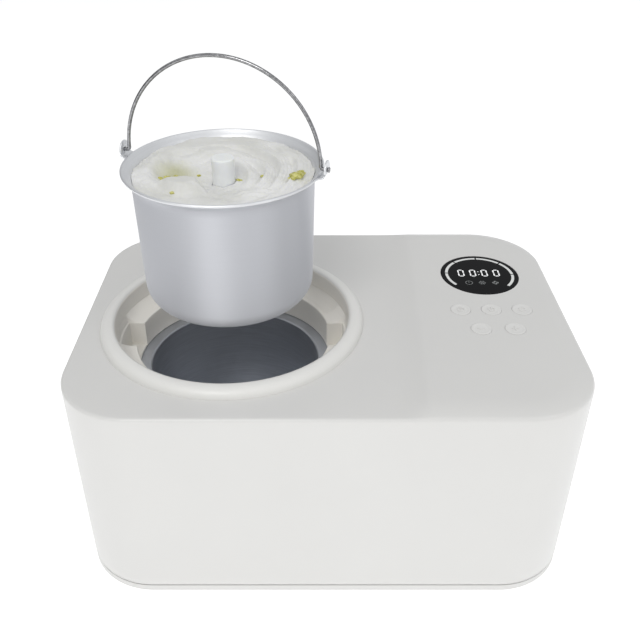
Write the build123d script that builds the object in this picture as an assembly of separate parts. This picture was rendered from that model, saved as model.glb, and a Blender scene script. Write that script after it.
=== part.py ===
from build123d import *
import math
import os

# Counter-top ice cream maker with its own compressor, millimetres, +Z up.
# The origin is on the table, under the middle of the machine, and -Y is the front.
# The bowl is drawn lifted straight out of the machine by its bail.

# ---- driving dimensions: machine body ----
BODY_W = 430.0
BODY_D = 304.0
CORNER_R = 63.0
FOOT_H = 4.0
BODY_H = 195.0
DECK_Z = FOOT_H + BODY_H
WALL_T = 2.8
DECK_T = 3.0
EDGE_R = 3.0
TRAY_LIP_H = 6.0
TRAY_LIP_W = 7.0
SEAM_H = 0.8
TRAY_T = 2.5
TRAY_TOP = FOOT_H + TRAY_T
SHELL_Z = FOOT_H + TRAY_LIP_H + SEAM_H
FOOT_R = 11.0
FOOT_XY = (160.0, 100.0)
SCREW_BOSS_R = 5.0
SCREW_BOSS_Z = (SHELL_Z + 3, 50.0)
BASE_SCREWS = (
    [(x, -116.0) for x in (-178.0, 178.0)]
    + [(x, 104.0) for x in (-192.0, 192.0)]
    + [(5.0, y) for y in (-142.0, 142.0)]
)
VENT_PITCH = 9.0
VENT_W = 4.0
VENT_DEPTH = 8.0
SIDE_VENTS = 11
SIDE_VENT_Z = 26.0
RIGHT_VENT_Y = (-94.0, 2.0)
LEFT_VENT_Y = (-40.0, 56.0)
REAR_VENTS = 12
REAR_VENT_X = 74.0
REAR_VENT_Z = (30.0, 110.0)
TRAY_VENTS = 8
TRAY_VENT_X = 92.0
TRAY_VENT_PITCH = 10.0
TRAY_VENT_Y = (36.0, 84.0)

# ---- raised control panel, part of the deck ----
PANEL_H = 4.5
PANEL_FOOT = (64.0, 212.0, -149.0, 149.0)
PANEL_TOP = (86.0, 190.0, -138.0, 118.0)
PANEL_FOOT_R = 40.0
PANEL_TOP_R = 30.0
PANEL_Z = DECK_Z + PANEL_H
DISPLAY_XY = (149.0, 57.5)
DISPLAY_R = 37.0
KEY_R = 9.0
KEY_GAP = 0.4
KEY_PROUD = 0.5
KEY_BACK_Y = -5.5
KEY_FRONT_Y = -36.5
KEY_PLACES = {
    "timer_key": (121.0, KEY_BACK_Y),
    "power_key": (148.5, KEY_BACK_Y),
    "mix_key": (176.0, KEY_BACK_Y),
    "minus_key": (134.0, KEY_FRONT_Y),
    "plus_key": (163.5, KEY_FRONT_Y),
}
GUIDE_R = 33.2
GUIDE_IN_R = 29.8
GUIDE_START_DEG = -42.0
GUIDE_PITCH_DEG = 43.6
GUIDE_SEGMENTS = 6
BOARD_Z = 184.0
BOARD_T = 1.6
SWITCH_TOP = 191.0
BOARD_AREA = (98.0, 200.0, -60.0, 96.0)
BOARD_POSTS = [(x, y) for x in (104.0, 194.0) for y in (-54.0, 90.0)]

# ---- bowl opening ----
BOWL_XY = (-83.0, -13.0)
LIP_R = 116.0
LIP_H = 8.0
LIP_IN_R = 104.0
LEDGE_TOP_Z = 190.0
LEDGE_Z = 182.0
SLEEVE_R = 86.0
SLEEVE_Z = 157.0
POCKET_HALF_W = 18.0
POCKET_R = 100.0
POCKET_Z = 159.0
DECK_HOLE_R = 113.0

# ---- freezing well ----
WELL_R = 76.0
WELL_T = 1.5
WELL_RIM_Z = 156.5
WELL_FLOOR_Z = 41.0
WELL_CORNER_R = 18.0
WELL_BOSS_R = 10.0
WELL_BOSS_Z = 30.0
COIL_MINOR_R = 3.0
COIL_RINGS = 6
COIL_PITCH = 16.0
COIL_Z = 55.0
MANIFOLD_DEG = 14.0
JACKET_R = 96.0
JACKET_IN_R = 84.0
JACKET_TOP = 150.0
JACKET_BOTTOM = 31.0

# ---- bowl, drawn lifted out ----
LIFT = 184.0
SEAT_GAP = 4.0
BOWL_BOTTOM = WELL_FLOOR_Z + SEAT_GAP + LIFT
BOWL_T = 1.2
BOWL_BASE_R = 71.0
BOWL_TOP_R = 73.0
BOWL_CORNER_R = 17.0
BRIM_START_Z = 338.3
BRIM_R = 79.2
BRIM_Z = 344.6
BEAD_R = 1.2
TUBE_R = 7.0
TUBE_IN_R = 5.7
TUBE_TOP = 338.0

# ---- ears and bail ----
EAR_TURN = -15.0
EAR_W = 16.0
EAR_T = 1.2
EAR_R = 85.4
EAR_BASE_Z = 343.6
EAR_TOP_Z = 354.5
PIVOT_Z = 349.0
WIRE_R = 1.5
BAIL_R = 80.0
BAIL_BEND_R = 2.5
BAIL_TIP_R = 88.5

# ---- paddle and contents ----
HUB_R = 9.3
HUB_IN_R = 7.5
HUB_TOP = 350.5
HUB_BOTTOM = 232.0
STEM_R = 5.3
SOCKET_AF = 7.0
SOCKET_DEPTH = 16.0
BLADE_R = 67.5
BLADE_Z = 231.4
BLADE_TOP = 288.0
BLADE_T = 3.0
BLADE_CORNER_R = 20.0
CREAM_R = 70.3
CREAM_Z = 292.0
CREAM_TOP = 329.0
CREAM_SLOPE = 7.0

# ---- drive train ----
SHAFT_R = 4.0
RUN_GAP = 0.05
DOG_AF = 6.4
DOG_Z = 46.0
DOG_TOP = 62.0
GEARBOX_Z = 9.0
GEARBOX_T = 2.0
GEARBOX_TOP = 27.0
COVER_T = 2.5
TRAIN_DEG = -25.0
SLOW_MODULE = 1.5
FAST_MODULE = 1.0
OUTPUT_TEETH = 80
SMALL_TEETH = 14
BIG_TEETH = 84
PINION_TEETH = 14
SLOW_Z = 12.0
SLOW_T = 6.0
FAST_Z = 20.0
FAST_T = 5.0
MOTOR_R = 20.0
MOTOR_TOP = 86.0

# ---- cooling plant ----
COMPRESSOR_XY = (128.0, 78.0)
COMPRESSOR_R = 50.0
COMPRESSOR_Z = 18.0
COMPRESSOR_TOP = 126.0
CONDENSER = (186.0, 206.0, -100.0, 8.0, 14.0, 122.0)
FIN_COUNT = 18
FAN_X = (158.0, 183.0)
FAN_YZ = (-46.0, 68.0)
FAN_SIZE = 100.0
FAN_R = 44.0
BLADE_COUNT = 7
DRIER_Y = 18.0
DRIER_Z = 26.0
COMPRESSOR_FEET = [
    (COMPRESSOR_XY[0] + sx * 46, COMPRESSOR_XY[1] + sy * 40) for sx in (-1, 1) for sy in (-1, 1)
]

# ---- electrics: inlet centre x and z, width and height ----
INLET = (-112.0, 46.0, 27.6, 20.0)
SUPPLY_BOARD = (60.0, 150.0, 20.0, 100.0)
SUPPLY_BOARD_Y = (-140.0, -138.4)
SUPPLY_POSTS = [(x, z) for x in (66.0, 144.0) for z in (28.0, 92.0)]
RIBBON_X = (113.0, 125.0)
RIBBON_T = 1.2

BOTTOM = (Align.CENTER, Align.CENTER, Align.MIN)


def polar(origin, radius, degrees):
    """Point in plan at a radius and angle from an origin."""
    angle = math.radians(degrees)
    return origin[0] + radius * math.cos(angle), origin[1] + radius * math.sin(angle)


SLOW_CENTRES = SLOW_MODULE * (OUTPUT_TEETH + SMALL_TEETH) / 2
FAST_CENTRES = FAST_MODULE * (BIG_TEETH + PINION_TEETH) / 2
IDLER_XY = polar(BOWL_XY, SLOW_CENTRES, TRAIN_DEG)
MOTOR_XY = polar(BOWL_XY, SLOW_CENTRES + FAST_CENTRES, TRAIN_DEG)
MANIFOLD_XY = polar(BOWL_XY, WELL_R + WELL_T + 5.5, MANIFOLD_DEG)
GEARBOX_SCREWS = [polar(BOWL_XY, 69.0, angle) for angle in (55.0, 140.0, 220.0, 295.0)]


# ---- shape helpers ----
def rod(radius, low, high, at=(0.0, 0.0)):
    """Upright round bar between two heights."""
    return Pos(at[0], at[1], low) * Cylinder(radius, high - low, align=BOTTOM)


def tube(radius, bore, low, high, at=(0.0, 0.0)):
    """Upright tube between two heights."""
    return rod(radius, low, high, at) - rod(bore, low - 1, high + 1, at)


def rod_x(radius, low, high, y, z):
    """Round bar along X."""
    return Pos(low, y, z) * Rot(0, 90, 0) * Cylinder(radius, high - low, align=BOTTOM)


def rod_y(radius, low, high, x, z):
    """Round bar along Y."""
    return Pos(x, low, z) * Rot(-90, 0, 0) * Cylinder(radius, high - low, align=BOTTOM)


def block(x0, x1, y0, y1, z0, z1):
    """Box given by its two corners."""
    size = (abs(x1 - x0), abs(y1 - y0), abs(z1 - z0))
    return Pos((x0 + x1) / 2, (y0 + y1) / 2, (z0 + z1) / 2) * Box(*size)


def rounded_plate(width, depth, radius, low, high):
    """Rectangle with round corners, raised between two heights."""
    return Pos(0, 0, low) * extrude(RectangleRounded(width, depth, radius), high - low)


def turned(outline, at=(0.0, 0.0)):
    """Solid of revolution from an outline in the XZ plane."""
    return Pos(at[0], at[1], 0) * revolve(make_face(outline), axis=Axis.Z)


def pipe(radius, bend, *points):
    """Round tube along straight runs joined by tangent bends."""
    path = FilletPolyline(*points, radius=bend)
    start = path.edges()[0]
    section = Plane(origin=path @ 0, z_dir=start.tangent_at(0)) * Circle(radius)
    return sweep(section, path=path)


def gear(teeth, module, low, high, bore, at, turn=0.0):
    """Spur gear with plain tapered teeth that leave room on both flanks."""
    tip_r = module * (teeth / 2 + 0.85)
    root_r = module * (teeth / 2 - 1.25)
    pitch = 360.0 / teeth
    points = []
    for index in range(teeth):
        middle = turn + index * pitch
        for radius, share in ((root_r, -0.25), (tip_r, -0.10), (tip_r, 0.10), (root_r, 0.25)):
            points.append(polar((0, 0), radius, middle + share * pitch))
    wheel = extrude(make_face(Polyline(*points, close=True)), high - low)
    return Pos(at[0], at[1], low) * wheel - rod(bore, low - 1, high + 1, at)


def group(shapes):
    """Separate solids kept in one node."""
    return Compound(children=list(shapes))


# ---- casing ----
def panel_raise(inset, low, drop):
    """Sloping-sided raise of the control panel; the inset makes the same shape for its inside."""
    x0, x1, y0, y1 = PANEL_FOOT
    foot = Pos((x0 + x1) / 2, (y0 + y1) / 2, low) * RectangleRounded(
        x1 - x0 - 2 * inset, y1 - y0 - 2 * inset, PANEL_FOOT_R
    )
    x0, x1, y0, y1 = PANEL_TOP
    top = Pos((x0 + x1) / 2, (y0 + y1) / 2, PANEL_Z - drop) * RectangleRounded(
        x1 - x0 - 2 * inset, y1 - y0 - 2 * inset, PANEL_TOP_R
    )
    return loft([foot, top], ruled=True)


def screw_rib(at, half, low, high):
    """Upright web from a screw boss to the nearest wall."""
    x, y = at
    if abs(x) > BODY_W / 4:
        return block(x, math.copysign(BODY_W / 2, x), y - half, y + half, low, high)
    return block(x - half, x + half, y, math.copysign(BODY_D / 2, y), low, high)


def vent_slots():
    """Air slots: beside the fan, opposite it, and behind the compressor."""
    half_w = BODY_W / 2
    half_d = BODY_D / 2
    slots = []
    for index in range(SIDE_VENTS):
        z = SIDE_VENT_Z + index * VENT_PITCH
        slots.append(block(half_w - VENT_DEPTH, half_w + 2, *RIGHT_VENT_Y, z, z + VENT_W))
        slots.append(block(-half_w - 2, -half_w + VENT_DEPTH, *LEFT_VENT_Y, z, z + VENT_W))
    for index in range(REAR_VENTS):
        x = REAR_VENT_X + index * VENT_PITCH
        slots.append(block(x, x + VENT_W, half_d - VENT_DEPTH, half_d + 2, *REAR_VENT_Z))
    return slots


def screw_bosses():
    """Bosses for the tray's screws, each with a web, cut off inside the wall's outer face."""
    inside = rounded_plate(BODY_W - WALL_T, BODY_D - WALL_T, CORNER_R - WALL_T / 2, SHELL_Z, DECK_Z - 5)
    bosses = Part()
    for at in BASE_SCREWS:
        bosses += rod(SCREW_BOSS_R, *SCREW_BOSS_Z, at) + screw_rib(at, 1.5, *SCREW_BOSS_Z)
    return bosses & inside


def board_posts():
    """Posts of the two circuit boards: under the panel, and on the front wall."""
    posts = Part()
    for at in BOARD_POSTS:
        posts += rod(4, BOARD_Z + BOARD_T, PANEL_Z - DECK_T + 1, at)
    for x, z in SUPPLY_POSTS:
        posts += rod_y(3.5, -BODY_D / 2 + 2, SUPPLY_BOARD_Y[0], x, z)
    return posts


def screw_holes():
    """Pilot holes in the bosses and posts."""
    holes = [rod(1.5, SHELL_Z, 24, at) for at in BASE_SCREWS]
    holes += [rod(1.2, BOARD_Z, BOARD_Z + 9, at) for at in BOARD_POSTS]
    holes += [rod_y(1.2, SUPPLY_BOARD_Y[0] - 5, SUPPLY_BOARD_Y[0] + 1, x, z) for x, z in SUPPLY_POSTS]
    return holes


def deck_holes():
    """Round holes through the deck for the collar, the window and the keys."""
    low, high = DECK_Z - 20, DECK_Z + 20
    holes = [rod(DECK_HOLE_R, low, high, BOWL_XY), rod(DISPLAY_R + 0.3, low, high, DISPLAY_XY)]
    return holes + [rod(KEY_R + KEY_GAP, low, high, at) for at in KEY_PLACES.values()]


def inlet_hole():
    """Rectangular hole in the rear wall."""
    x, z, width, height = INLET
    half_w, half_h = width / 2, height / 2
    return block(x - half_w, x + half_w, BODY_D / 2 - 10, BODY_D / 2 + 1, z - half_h, z + half_h)


def make_housing_shell():
    """Walls and deck in one moulding, with the raised control panel, bosses and posts."""
    body = rounded_plate(BODY_W, BODY_D, CORNER_R, SHELL_Z, DECK_Z)
    body = fillet(body.faces().sort_by(Axis.Z)[-1].edges(), EDGE_R)
    body += panel_raise(0, DECK_Z - 0.5, 0)
    inner_w = BODY_W - 2 * WALL_T
    inner_d = BODY_D - 2 * WALL_T
    body -= rounded_plate(inner_w, inner_d, CORNER_R - WALL_T, SHELL_Z - 1, DECK_Z - DECK_T)
    body -= panel_raise(4, DECK_Z - DECK_T - 1, DECK_T)
    body += screw_bosses()
    body += board_posts()
    return body - (screw_holes() + deck_holes() + vent_slots() + [inlet_hole()])


def make_base_tray():
    """Bottom tray with a visible edge, a locating rim, air slots and screw holes."""
    edge = 0.4
    tray = rounded_plate(BODY_W - edge, BODY_D - edge, CORNER_R - edge / 2, FOOT_H, FOOT_H + TRAY_LIP_H)
    lip = 2 * TRAY_LIP_W
    tray -= rounded_plate(BODY_W - lip, BODY_D - lip, CORNER_R - TRAY_LIP_W, TRAY_TOP, SHELL_Z)
    rim = rounded_plate(BODY_W - 8, BODY_D - 8, CORNER_R - 4, TRAY_TOP - 0.5, SHELL_Z + 3)
    rim -= rounded_plate(BODY_W - 12, BODY_D - 12, CORNER_R - 6, TRAY_TOP - 1, SHELL_Z + 4)
    for at in BASE_SCREWS:
        x, y = at
        rim -= block(x - 8, x + 8, y - 8, y + 8, SHELL_Z - SEAM_H, SHELL_Z + 4)
        rim -= screw_rib(at, 4, SHELL_Z - SEAM_H, SHELL_Z + 4)
    tray += rim
    holes = [rod(1.7, FOOT_H - 1, TRAY_TOP + 1, at) for at in BASE_SCREWS]
    for index in range(TRAY_VENTS):
        x = TRAY_VENT_X + index * TRAY_VENT_PITCH
        holes.append(block(x, x + VENT_W, *TRAY_VENT_Y, FOOT_H - 1, TRAY_TOP + 1))
    return tray - holes


def make_rubber_feet():
    """Four pads under the tray, each with a small chamfer."""
    pad = chamfer(rod(FOOT_R, 0, FOOT_H).faces().sort_by(Axis.Z)[0].edges(), 0.8)
    x, y = FOOT_XY
    return group(Pos(sx * x, sy * y, 0) * pad for sx in (-1, 1) for sy in (-1, 1))


def make_screws(places, head_r, shank_r, head_low, head_high, tip):
    """Upright screws in one node, heads below."""
    return group(rod(head_r, head_low, head_high, at) + rod(shank_r, head_high, tip, at) for at in places)


def make_opening_collar():
    """Raised lip, sloping ledge, inner sleeve and the two pockets for the bowl's ears."""
    lip_top = DECK_Z + LIP_H
    ledge_r = LIP_IN_R - 1.5
    outline = [
        Line((LIP_R, 0, DECK_Z), (DECK_HOLE_R - 0.4, 0, DECK_Z)),
        Line((DECK_HOLE_R - 0.4, 0, DECK_Z), (DECK_HOLE_R - 0.4, 0, DECK_Z - 8)),
        Line((DECK_HOLE_R - 0.4, 0, DECK_Z - 8), (LIP_IN_R + 2.5, 0, DECK_Z - 14)),
        Line((LIP_IN_R + 2.5, 0, DECK_Z - 14), (SLEEVE_R + 2.5, 0, LEDGE_Z - 4)),
        Line((SLEEVE_R + 2.5, 0, LEDGE_Z - 4), (SLEEVE_R + 2.5, 0, SLEEVE_Z)),
        Line((SLEEVE_R + 2.5, 0, SLEEVE_Z), (SLEEVE_R, 0, SLEEVE_Z)),
        Line((SLEEVE_R, 0, SLEEVE_Z), (SLEEVE_R, 0, LEDGE_Z - 1)),
        Line((SLEEVE_R, 0, LEDGE_Z - 1), (SLEEVE_R + 1, 0, LEDGE_Z)),
        ThreePointArc(
            (SLEEVE_R + 1, 0, LEDGE_Z), (96.5, 0, 184.0), (ledge_r, 0, LEDGE_TOP_Z - 1)
        ),
        Line((ledge_r, 0, LEDGE_TOP_Z - 1), (LIP_IN_R, 0, LEDGE_TOP_Z)),
        Line((LIP_IN_R, 0, LEDGE_TOP_Z), (LIP_IN_R, 0, lip_top - 1.5)),
        ThreePointArc(
            (LIP_IN_R, 0, lip_top - 1.5), (LIP_IN_R + 0.5, 0, lip_top - 0.4), (LIP_IN_R + 1.6, 0, lip_top)
        ),
        ThreePointArc((LIP_IN_R + 1.6, 0, lip_top), (112.6, 0, DECK_Z + 5.2), (LIP_R, 0, DECK_Z)),
    ]
    collar = turned(outline)
    wide = POCKET_R + 2.5
    half = POCKET_HALF_W + 2.5
    solid = block(-wide, wide, -half, half, SLEEVE_Z, LEDGE_Z + 4)
    solid -= rod(SLEEVE_R + 1.25, SLEEVE_Z - 1, LEDGE_Z + 20)
    above_ledge = rod(LIP_IN_R, LEDGE_Z + 2, LEDGE_Z + 30)
    collar += solid - above_ledge
    pocket = block(-POCKET_R, POCKET_R, -POCKET_HALF_W, POCKET_HALF_W, POCKET_Z, LEDGE_Z + 20)
    collar -= pocket & rod(POCKET_R, POCKET_Z, LEDGE_Z + 20)
    return Pos(*BOWL_XY, 0) * collar


def make_display_window():
    """Round black window, flush with the panel."""
    disc = rod(DISPLAY_R, PANEL_Z - 2.5, PANEL_Z + 0.1, DISPLAY_XY)
    return chamfer(disc.faces().sort_by(Axis.Z)[-1].edges(), 0.4)


def make_light_guide():
    """Six arc segments behind the rim of the window, open at the front."""
    ring = tube(GUIDE_R, GUIDE_IN_R, BOARD_Z + BOARD_T, PANEL_Z - 2.8)
    segments = []
    for index in range(GUIDE_SEGMENTS):
        start = GUIDE_START_DEG + index * GUIDE_PITCH_DEG
        end = start + GUIDE_PITCH_DEG - 2
        wedge = Polyline((0, 0), polar((0, 0), 60, start), polar((0, 0), 60, end), close=True)
        cutter = Pos(0, 0, BOARD_Z) * extrude(make_face(wedge), 30)
        segments.append(Pos(*DISPLAY_XY, 0) * (ring & cutter))
    return group(segments)


def make_led_module():
    """Four-digit block with three indicator lamps in front of it."""
    x, y = DISPLAY_XY
    low = BOARD_Z + BOARD_T
    digits = block(x - 22, x + 22, y - 5, y + 11, low, PANEL_Z - 3)
    lamps = [rod(3, low, PANEL_Z - 4, (x + dx, y - 15.5)) for dx in (-12.5, 0, 12.5)]
    return group([digits] + lamps)


def make_display_board():
    """Circuit board under the panel with its connector and a controller chip below."""
    x0, x1, y0, y1 = BOARD_AREA
    board = block(x0, x1, y0, y1, BOARD_Z, BOARD_Z + BOARD_T)
    for at in BOARD_POSTS:
        board -= rod(1.6, BOARD_Z - 1, BOARD_Z + 3, at)
    board += block(120, 134, -20, -6, BOARD_Z - 1.6, BOARD_Z)
    board += block(112, 126, -52, -44, BOARD_Z - 7, BOARD_Z)
    return board


def make_tact_switches():
    """One small push switch under each key."""
    low = BOARD_Z + BOARD_T
    return group(
        block(x - 3, x + 3, y - 3, y + 3, low, low + 3.6) + rod(1.7, low + 3.6, SWITCH_TOP, (x, y))
        for x, y in KEY_PLACES.values()
    )


def make_key(at):
    """Push key: domed cap, retaining flange under the deck and a stem to its switch."""
    cap = rod(KEY_R, PANEL_Z - DECK_T - 2.0, PANEL_Z + KEY_PROUD)
    cap = fillet(cap.faces().sort_by(Axis.Z)[-1].edges(), 0.8)
    flange = rod(KEY_R + 1.8, PANEL_Z - DECK_T - 2.0, PANEL_Z - DECK_T - 0.4)
    stem = rod(2.2, SWITCH_TOP + 1.2, PANEL_Z - DECK_T - 1.0)
    return Pos(*at, 0) * (cap + flange + stem)


# ---- freezing well and insulation ----
def make_evaporator_well():
    """Seamless metal well with a flat rim, rounded floor and a boss for the shaft."""
    out_r = WELL_R + WELL_T
    low = WELL_FLOOR_Z - WELL_T
    mid = WELL_FLOOR_Z + WELL_CORNER_R
    in_x = WELL_R - WELL_CORNER_R
    lean = math.sqrt(0.5)
    arm = WELL_CORNER_R * lean
    out_arm = (WELL_CORNER_R + WELL_T) * lean
    rim_low = WELL_RIM_Z - WELL_T
    outline = [
        Line((6, 0, WELL_FLOOR_Z), (in_x, 0, WELL_FLOOR_Z)),
        ThreePointArc((in_x, 0, WELL_FLOOR_Z), (in_x + arm, 0, mid - arm), (WELL_R, 0, mid)),
        Line((WELL_R, 0, mid), (WELL_R, 0, WELL_RIM_Z - 1)),
        Line((WELL_R, 0, WELL_RIM_Z - 1), (WELL_R + 1, 0, WELL_RIM_Z)),
        Line((WELL_R + 1, 0, WELL_RIM_Z), (SLEEVE_R + 2.5, 0, WELL_RIM_Z)),
        Line((SLEEVE_R + 2.5, 0, WELL_RIM_Z), (SLEEVE_R + 2.5, 0, rim_low)),
        Line((SLEEVE_R + 2.5, 0, rim_low), (out_r, 0, rim_low)),
        Line((out_r, 0, rim_low), (out_r, 0, mid)),
        ThreePointArc((out_r, 0, mid), (in_x + out_arm, 0, mid - out_arm), (in_x, 0, low)),
        Line((in_x, 0, low), (WELL_BOSS_R, 0, low)),
        Line((WELL_BOSS_R, 0, low), (WELL_BOSS_R, 0, WELL_BOSS_Z)),
        Line((WELL_BOSS_R, 0, WELL_BOSS_Z), (6, 0, WELL_BOSS_Z)),
        Line((6, 0, WELL_BOSS_Z), (6, 0, WELL_FLOOR_Z)),
    ]
    return turned(outline, BOWL_XY)


def make_evaporator_coil():
    """Cooling tube rings round the well, joined by one upright manifold."""
    ring_r = WELL_R + WELL_T + COIL_MINOR_R + 0.1
    rings = [
        Pos(*BOWL_XY, COIL_Z + index * COIL_PITCH) * Torus(ring_r, COIL_MINOR_R)
        for index in range(COIL_RINGS)
    ]
    coil = rod(COIL_MINOR_R + 0.2, COIL_Z - 3, JACKET_TOP - 10, MANIFOLD_XY)
    for ring in rings:
        coil += ring
    return coil


def make_insulation_jacket():
    """Foam sleeve round the coil and under the well, notched for the manifold."""
    jacket = tube(JACKET_R, JACKET_IN_R, WELL_FLOOR_Z - 2, JACKET_TOP, BOWL_XY)
    jacket += tube(JACKET_R, WELL_BOSS_R + 2, JACKET_BOTTOM, WELL_FLOOR_Z - 2, BOWL_XY)
    notch = Rot(0, 0, MANIFOLD_DEG) * block(70, 110, -7, 7, 44, JACKET_TOP + 1)
    return jacket - Pos(*BOWL_XY, 0) * notch


def make_temperature_sensor():
    """Sensor block held against the well wall between two coil rings."""
    x, y = BOWL_XY
    near = x - WELL_R - WELL_T
    return block(near - 5.5, near - 0.6, y - 5, y + 5, COIL_Z + 4, COIL_Z + 12)


# ---- bowl, bail, paddle and contents ----
def make_bowl():
    """Drawn bowl with a flared brim, a rolled edge, a centre tube and two ears."""
    low = BOWL_BOTTOM
    mid = low + BOWL_CORNER_R
    in_x = BOWL_BASE_R - BOWL_CORNER_R
    lean = math.sqrt(0.5)
    out_arm = BOWL_CORNER_R * lean
    arm = (BOWL_CORNER_R - BOWL_T) * lean
    floor = low + BOWL_T
    brim_in = BOWL_TOP_R - BOWL_T
    outline = [
        Line((TUBE_IN_R, 0, low), (in_x, 0, low)),
        ThreePointArc((in_x, 0, low), (in_x + out_arm, 0, mid - out_arm), (BOWL_BASE_R, 0, mid)),
        Line((BOWL_BASE_R, 0, mid), (BOWL_TOP_R, 0, BRIM_START_Z)),
        Line((BOWL_TOP_R, 0, BRIM_START_Z), (BRIM_R, 0, BRIM_Z - 0.9)),
        Line((BRIM_R, 0, BRIM_Z - 0.9), (BRIM_R - 0.9, 0, BRIM_Z + 0.6)),
        Line((BRIM_R - 0.9, 0, BRIM_Z + 0.6), (brim_in, 0, BRIM_START_Z + 0.6)),
        Line((brim_in, 0, BRIM_START_Z + 0.6), (BOWL_BASE_R - BOWL_T, 0, mid)),
        ThreePointArc((BOWL_BASE_R - BOWL_T, 0, mid), (in_x + arm, 0, mid - arm), (in_x, 0, floor)),
        Line((in_x, 0, floor), (TUBE_R, 0, floor)),
        Line((TUBE_R, 0, floor), (TUBE_R, 0, TUBE_TOP)),
        Line((TUBE_R, 0, TUBE_TOP), (TUBE_IN_R, 0, TUBE_TOP)),
        Line((TUBE_IN_R, 0, TUBE_TOP), (TUBE_IN_R, 0, low)),
    ]
    bowl = turned(outline)
    bowl += Pos(0, 0, BRIM_Z) * Torus(BRIM_R, BEAD_R)
    for side in (0, 180):
        bowl += Rot(0, 0, side) * make_ear()
    return Pos(*BOWL_XY, 0) * Rot(0, 0, EAR_TURN) * bowl


def make_ear():
    """Pressed tab that turns up beyond the brim, with the hole for the bail."""
    strap = block(BRIM_R - 0.5, EAR_R, -EAR_W / 2, EAR_W / 2, EAR_BASE_Z, EAR_BASE_Z + EAR_T)
    plate = block(EAR_R - EAR_T, EAR_R, -EAR_W / 2, EAR_W / 2, EAR_BASE_Z, EAR_TOP_Z)
    top_edges = plate.edges().filter_by(Axis.X).sort_by(Axis.Z)[-2:]
    plate = fillet(top_edges, 6)
    return strap + plate - rod_x(WIRE_R + RUN_GAP, EAR_R - 5, EAR_R + 5, 0, PIVOT_Z)


def make_bail():
    """Bent wire handle: an arch about the pivots, two turned-out ends and their peened heads."""
    start_deg = math.degrees(math.asin(BAIL_BEND_R / (BAIL_R + BAIL_BEND_R)))
    corner_x = (BAIL_R + BAIL_BEND_R) * math.cos(math.radians(start_deg))
    arch_start = Rot(0, -start_deg, 0) * Pos(BAIL_R, 0, 0) * Circle(WIRE_R)
    bail = revolve(arch_start, axis=Axis((0, 0, 0), (0, -1, 0)), revolution_arc=180 - 2 * start_deg)
    pin_start = Pos(corner_x, 0, 0) * Rot(0, 90, 0) * Circle(WIRE_R)
    turn = Axis((corner_x, 0, BAIL_BEND_R), (0, 1, 0))
    for side in (0, 180):
        bend = revolve(pin_start, axis=turn, revolution_arc=90 - start_deg)
        pin = rod_x(WIRE_R, corner_x, BAIL_TIP_R, 0, 0)
        head = rod_x(WIRE_R + 0.9, EAR_R + 0.4, BAIL_TIP_R, 0, 0)
        bail += Rot(0, 0, side) * (bend + pin + head)
    return Pos(*BOWL_XY, PIVOT_Z) * Rot(0, 0, EAR_TURN) * bail


def make_paddle():
    """Hub that covers the bowl's centre tube, an inner stem with a hex socket, and two blades."""
    paddle = rod(HUB_R, HUB_BOTTOM, HUB_TOP) - rod(HUB_IN_R, HUB_BOTTOM - 1, HUB_TOP - 4)
    paddle = fillet(paddle.faces().sort_by(Axis.Z)[-1].edges(), 1.2)
    paddle += rod(STEM_R, HUB_BOTTOM, HUB_TOP - 2)
    socket = RegularPolygon(SOCKET_AF / 2, 6, major_radius=False)
    paddle -= Pos(0, 0, HUB_BOTTOM - 1) * extrude(socket, SOCKET_DEPTH + 1)
    blade = block(HUB_R - 1, BLADE_R, -BLADE_T / 2, BLADE_T / 2, BLADE_Z, BLADE_TOP)
    corner = blade.edges().filter_by(Axis.Y).sort_by(Axis.X)[-2:].sort_by(Axis.Z)[0]
    blade = fillet(corner, BLADE_CORNER_R)
    window = block(HUB_R + 8, BLADE_R - 9, -BLADE_T, BLADE_T, BLADE_Z + 22, BLADE_TOP - 9)
    blade -= fillet(window.edges().filter_by(Axis.Y), 6)
    for side in (90, 270):
        paddle += Rot(0, 0, side) * blade
    return Pos(*BOWL_XY, 0) * paddle


def make_ice_cream():
    """Plug of ice cream over the blades, higher at the back, with a hole for the hub."""
    plug = tube(CREAM_R, HUB_R + 0.5, CREAM_Z, CREAM_TOP + 20)
    top = Pos(0, 0, CREAM_TOP) * Rot(CREAM_SLOPE, 0, 0) * Box(400, 400, 60, align=BOTTOM)
    return Pos(*BOWL_XY, 0) * (plug - top)


# ---- drive train ----
def make_gearbox_housing():
    """Flat cup for the gear train, with holes for the idler pin and lower bearing."""
    cup = gearbox_area(0, GEARBOX_Z, GEARBOX_TOP)
    cup -= gearbox_area(GEARBOX_T, GEARBOX_Z + GEARBOX_T, GEARBOX_TOP + 1)
    cup -= rod(7, GEARBOX_Z - 1, GEARBOX_Z + 4, BOWL_XY)
    cup -= rod(2.5, GEARBOX_Z - 1, GEARBOX_Z + 4, IDLER_XY)
    for at in GEARBOX_SCREWS:
        cup += rod(4, GEARBOX_Z, GEARBOX_TOP, at)
        cup -= rod(1.3, GEARBOX_Z + 4, GEARBOX_TOP + 1, at)
    return cup


def gearbox_area(inset, low, high):
    """Three joined discs that surround the three gear centres."""
    area = rod(66 - inset, low, high, BOWL_XY)
    area += rod(47 - inset, low, high, IDLER_XY)
    return area + rod(17 - inset, low, high, MOTOR_XY)


def make_gearbox_cover():
    """Lid of the gearbox with holes for the shaft, the idler pin and the motor shaft."""
    top = GEARBOX_TOP + COVER_T
    cover = gearbox_area(0, GEARBOX_TOP, top)
    for at in GEARBOX_SCREWS:
        cover += rod(4, GEARBOX_TOP, top, at)
        cover -= rod(1.6, GEARBOX_TOP - 1, top + 1, at)
    cover -= rod(6, GEARBOX_TOP - 1, top + 1, BOWL_XY)
    cover -= rod(2.5, GEARBOX_TOP - 1, top + 1, IDLER_XY)
    return cover - rod(5, GEARBOX_TOP - 1, top + 1, MOTOR_XY)


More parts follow.
